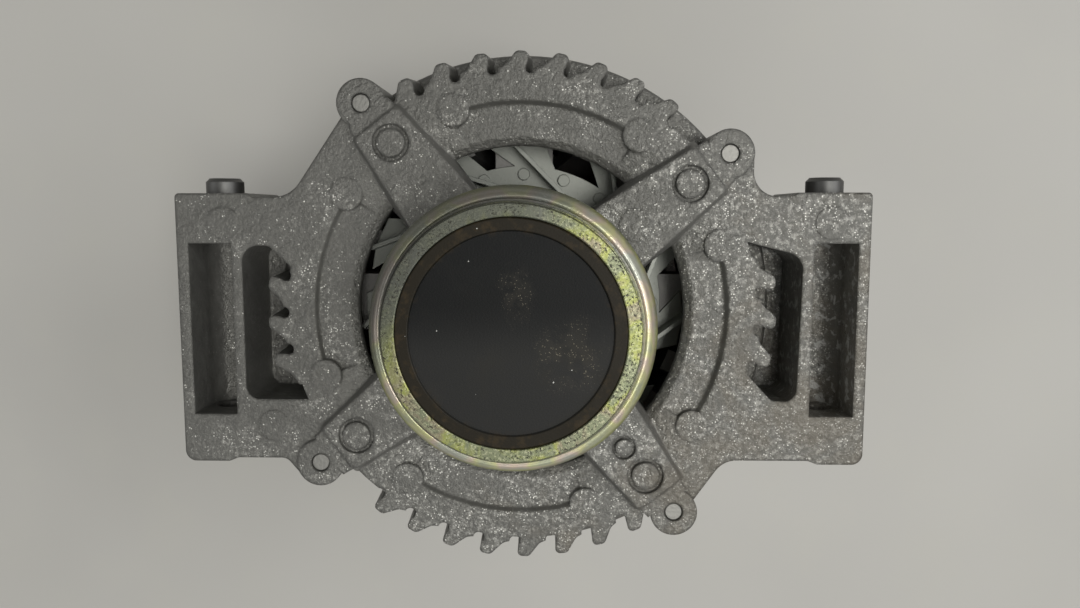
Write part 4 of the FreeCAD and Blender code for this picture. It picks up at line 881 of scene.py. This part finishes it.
# %% [markdown]
# ## The battery stud's foot
#
# The stud's square foot is brazed to the positive plate. A cube with a Bevel modifier would
# do, but the foot and the rod are one piece, so the foot is also written as rings: four
# rounded squares on top of each other, the outer two a little smaller.

# %% Foot and rod in one piece
STUD_Z = 9 * MM
FOOT_THICK, FOOT_TALL = 7 * MM, 6 * MM
FOOT_CORNER, FOOT_BEVEL = 1.2 * MM, 0.4 * MM


def rounded_slab(low, high, corner, bevel):
    """Rings of an upright block with round corners and bevelled edges above and below: the
    sign of each direction picks a corner's centre, and the direction itself its arc."""
    centre, half = (low + high) / 2, (high - low) / 2
    turn = np.linspace(0, 2 * np.pi, 32, endpoint=False) + np.pi / 32
    edge = np.stack([np.cos(turn), np.sin(turn)], -1)
    level = np.array([-half[2], bevel - half[2], half[2] - bevel, half[2]])[:, None, None]
    inset = np.array([bevel, 0, 0, bevel])[:, None, None]
    flat = np.sign(edge) * (half[:2] - corner) + edge * (corner - inset)
    return (np.concatenate([flat, level + 0 * flat[..., :1]], -1) + centre)[None]


stud_low, stud_high = (np.array(corner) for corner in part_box("output_stud"))
shank = rod[..., [0, 2, 1]] * (1, -1, 1) + (0, stud_low[1] + STUD_LONG, STUD_Z)
foot_low = np.array((stud_low[0], stud_high[1] - FOOT_THICK, stud_high[2] - FOOT_TALL))
foot = rounded_slab(foot_low, stud_high, FOOT_CORNER, FOOT_BEVEL)
add_piece("battery_stud", tube_mesh("battery_stud", shank, foot), bolt_zinc, "zinc_steel",
          "housing", "output_stud")

# %% [markdown] ## Table  The alternator stands on a plain pale table that fills the picture.

# %% A pale table top
TABLE_HALF = 1.5


def table_top(name):
    """Pale warm grey laminate: broad soft tones and a trace of dust."""
    material, place = new_finish(name)
    broad = noise(place, 140 * MM, 2.0)
    dusty = mask(noise(place, 30 * MM, 3.0), 0.4, 0.8)
    colour = tint(broad, (0.45, 0.44, 0.415), (0.54, 0.53, 0.50))
    colour = tint(dusty * 0.3, colour, (0.52, 0.51, 0.46))
    close_finish(place, Base_Color=colour, Roughness=0.42 + 0.1 * broad,
                 Normal=bump(noise(place, 2 * MM), 0.01 * MM))
    return material


corners = [(x * TABLE_HALF, y * TABLE_HALF, 0) for x, y in ((-1, -1), (1, -1), (1, 1), (-1, 1))]
table_mesh = bpy.data.meshes.new("table")
table_mesh.from_pydata(corners, [], [(0, 1, 2, 3)])
table = bpy.data.objects.new("table", table_mesh)
bpy.context.scene.collection.objects.link(table)
table_mesh.materials.append(table_top("table_top"))
table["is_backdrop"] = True
print("the table is", 2 * TABLE_HALF, "m wide")

# %% [markdown]
# ## Light
#
# The photograph was taken in a room with diffuse light: no hard shadow shows, and the plated
# nose carries soft highlights on its right and lower side. A picture of a room could light
# it, but no file is read here. So four soft area lights stand for the room: a small one
# overhead, a strong one on the right, and weaker ones near and left. The world adds an even
# grey, which fills what they leave dark.

# %% Four soft lights and an even room
AIM = Vector((0, 0, 0.1))
WHITE, WARM_WHITE = (1, 1, 1), (1.0, 0.99, 0.95)
LIGHTS = {
    "ceiling_light": ((0.36, -0.05, 1.50), 0.5, 8, WARM_WHITE),
    "right_light": ((1.45, 0.30, 1.25), 1.2, 12, WHITE),
    "near_light": ((0.10, -1.55, 1.30), 1.2, 6, WHITE),
    "left_light": ((-1.60, -0.20, 1.20), 0.9, 5, WHITE),
}
ROOM_TONE, ROOM_STRENGTH = (0.80, 0.80, 0.77, 1), 0.28


def soft_light(name, stand, width, power, colour):
    """A square area light of this width that looks at the part."""
    light = bpy.data.lights.new(name, "AREA")
    light.size, light.energy, light.color = width, power, colour
    holder = bpy.data.objects.new(name, light)
    holder.location = stand
    holder.rotation_euler = (AIM - Vector(stand)).to_track_quat("-Z", "Y").to_euler()
    bpy.context.scene.collection.objects.link(holder)
    print(name, "gives", power, "W from", stand)


for name, (stand, width, power, colour) in LIGHTS.items():
    soft_light(name, stand, width, power, colour)
room = bpy.data.worlds.new("room")
bpy.context.scene.world = room
room.use_nodes = True
room.node_tree.nodes["Background"].inputs["Color"].default_value = ROOM_TONE
room.node_tree.nodes["Background"].inputs["Strength"].default_value = ROOM_STRENGTH
bpy.context.scene.view_settings.view_transform = "Standard"

# %% [markdown]
# ## Camera
#
# The photograph looks almost straight down the shaft from close by, so near pieces look
# larger than far ones. The camera could be placed by eye. Here, its place, its direction and
# its lens come from a least-squares fit: bolt ends, ears, posts and pulley rings of the CAD
# were set against where the photograph shows them, to about half a pixel.

# %% Camera
SENSOR_WIDTH, LENS, NEAREST = 36.0, 28.34, 0.01
CAMERA_PLACE = Vector((0.01074, 0.02635, 0.3455))
across = Vector((0.99971, -0.00045, -0.02418)).normalized()
back = Vector((0.02409, 0.10670, 0.99400)).normalized()
upwards = back.cross(across)

camera = bpy.data.cameras.new("camera")
camera.lens, camera.sensor_width, camera.clip_start = LENS, SENSOR_WIDTH, NEAREST
viewer = bpy.data.objects.new("camera", camera)
viewer.matrix_world = Matrix.LocRotScale(
    CAMERA_PLACE, Matrix((across, upwards, back)).transposed(), Vector((1, 1, 1)))
bpy.context.scene.collection.objects.link(viewer)
bpy.context.scene.camera = viewer
print("camera looks along", [round(-c, 3) for c in back])

# %% Compare the boxes and finish
shown_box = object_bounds()
grown = [round(max(cad_box[0][i] - shown_box[0][i], shown_box[1][i] - cad_box[1][i]) / MM, 2)
         for i in range(3)]
print("the dressed model leaves the CAD box by, in mm:", grown)
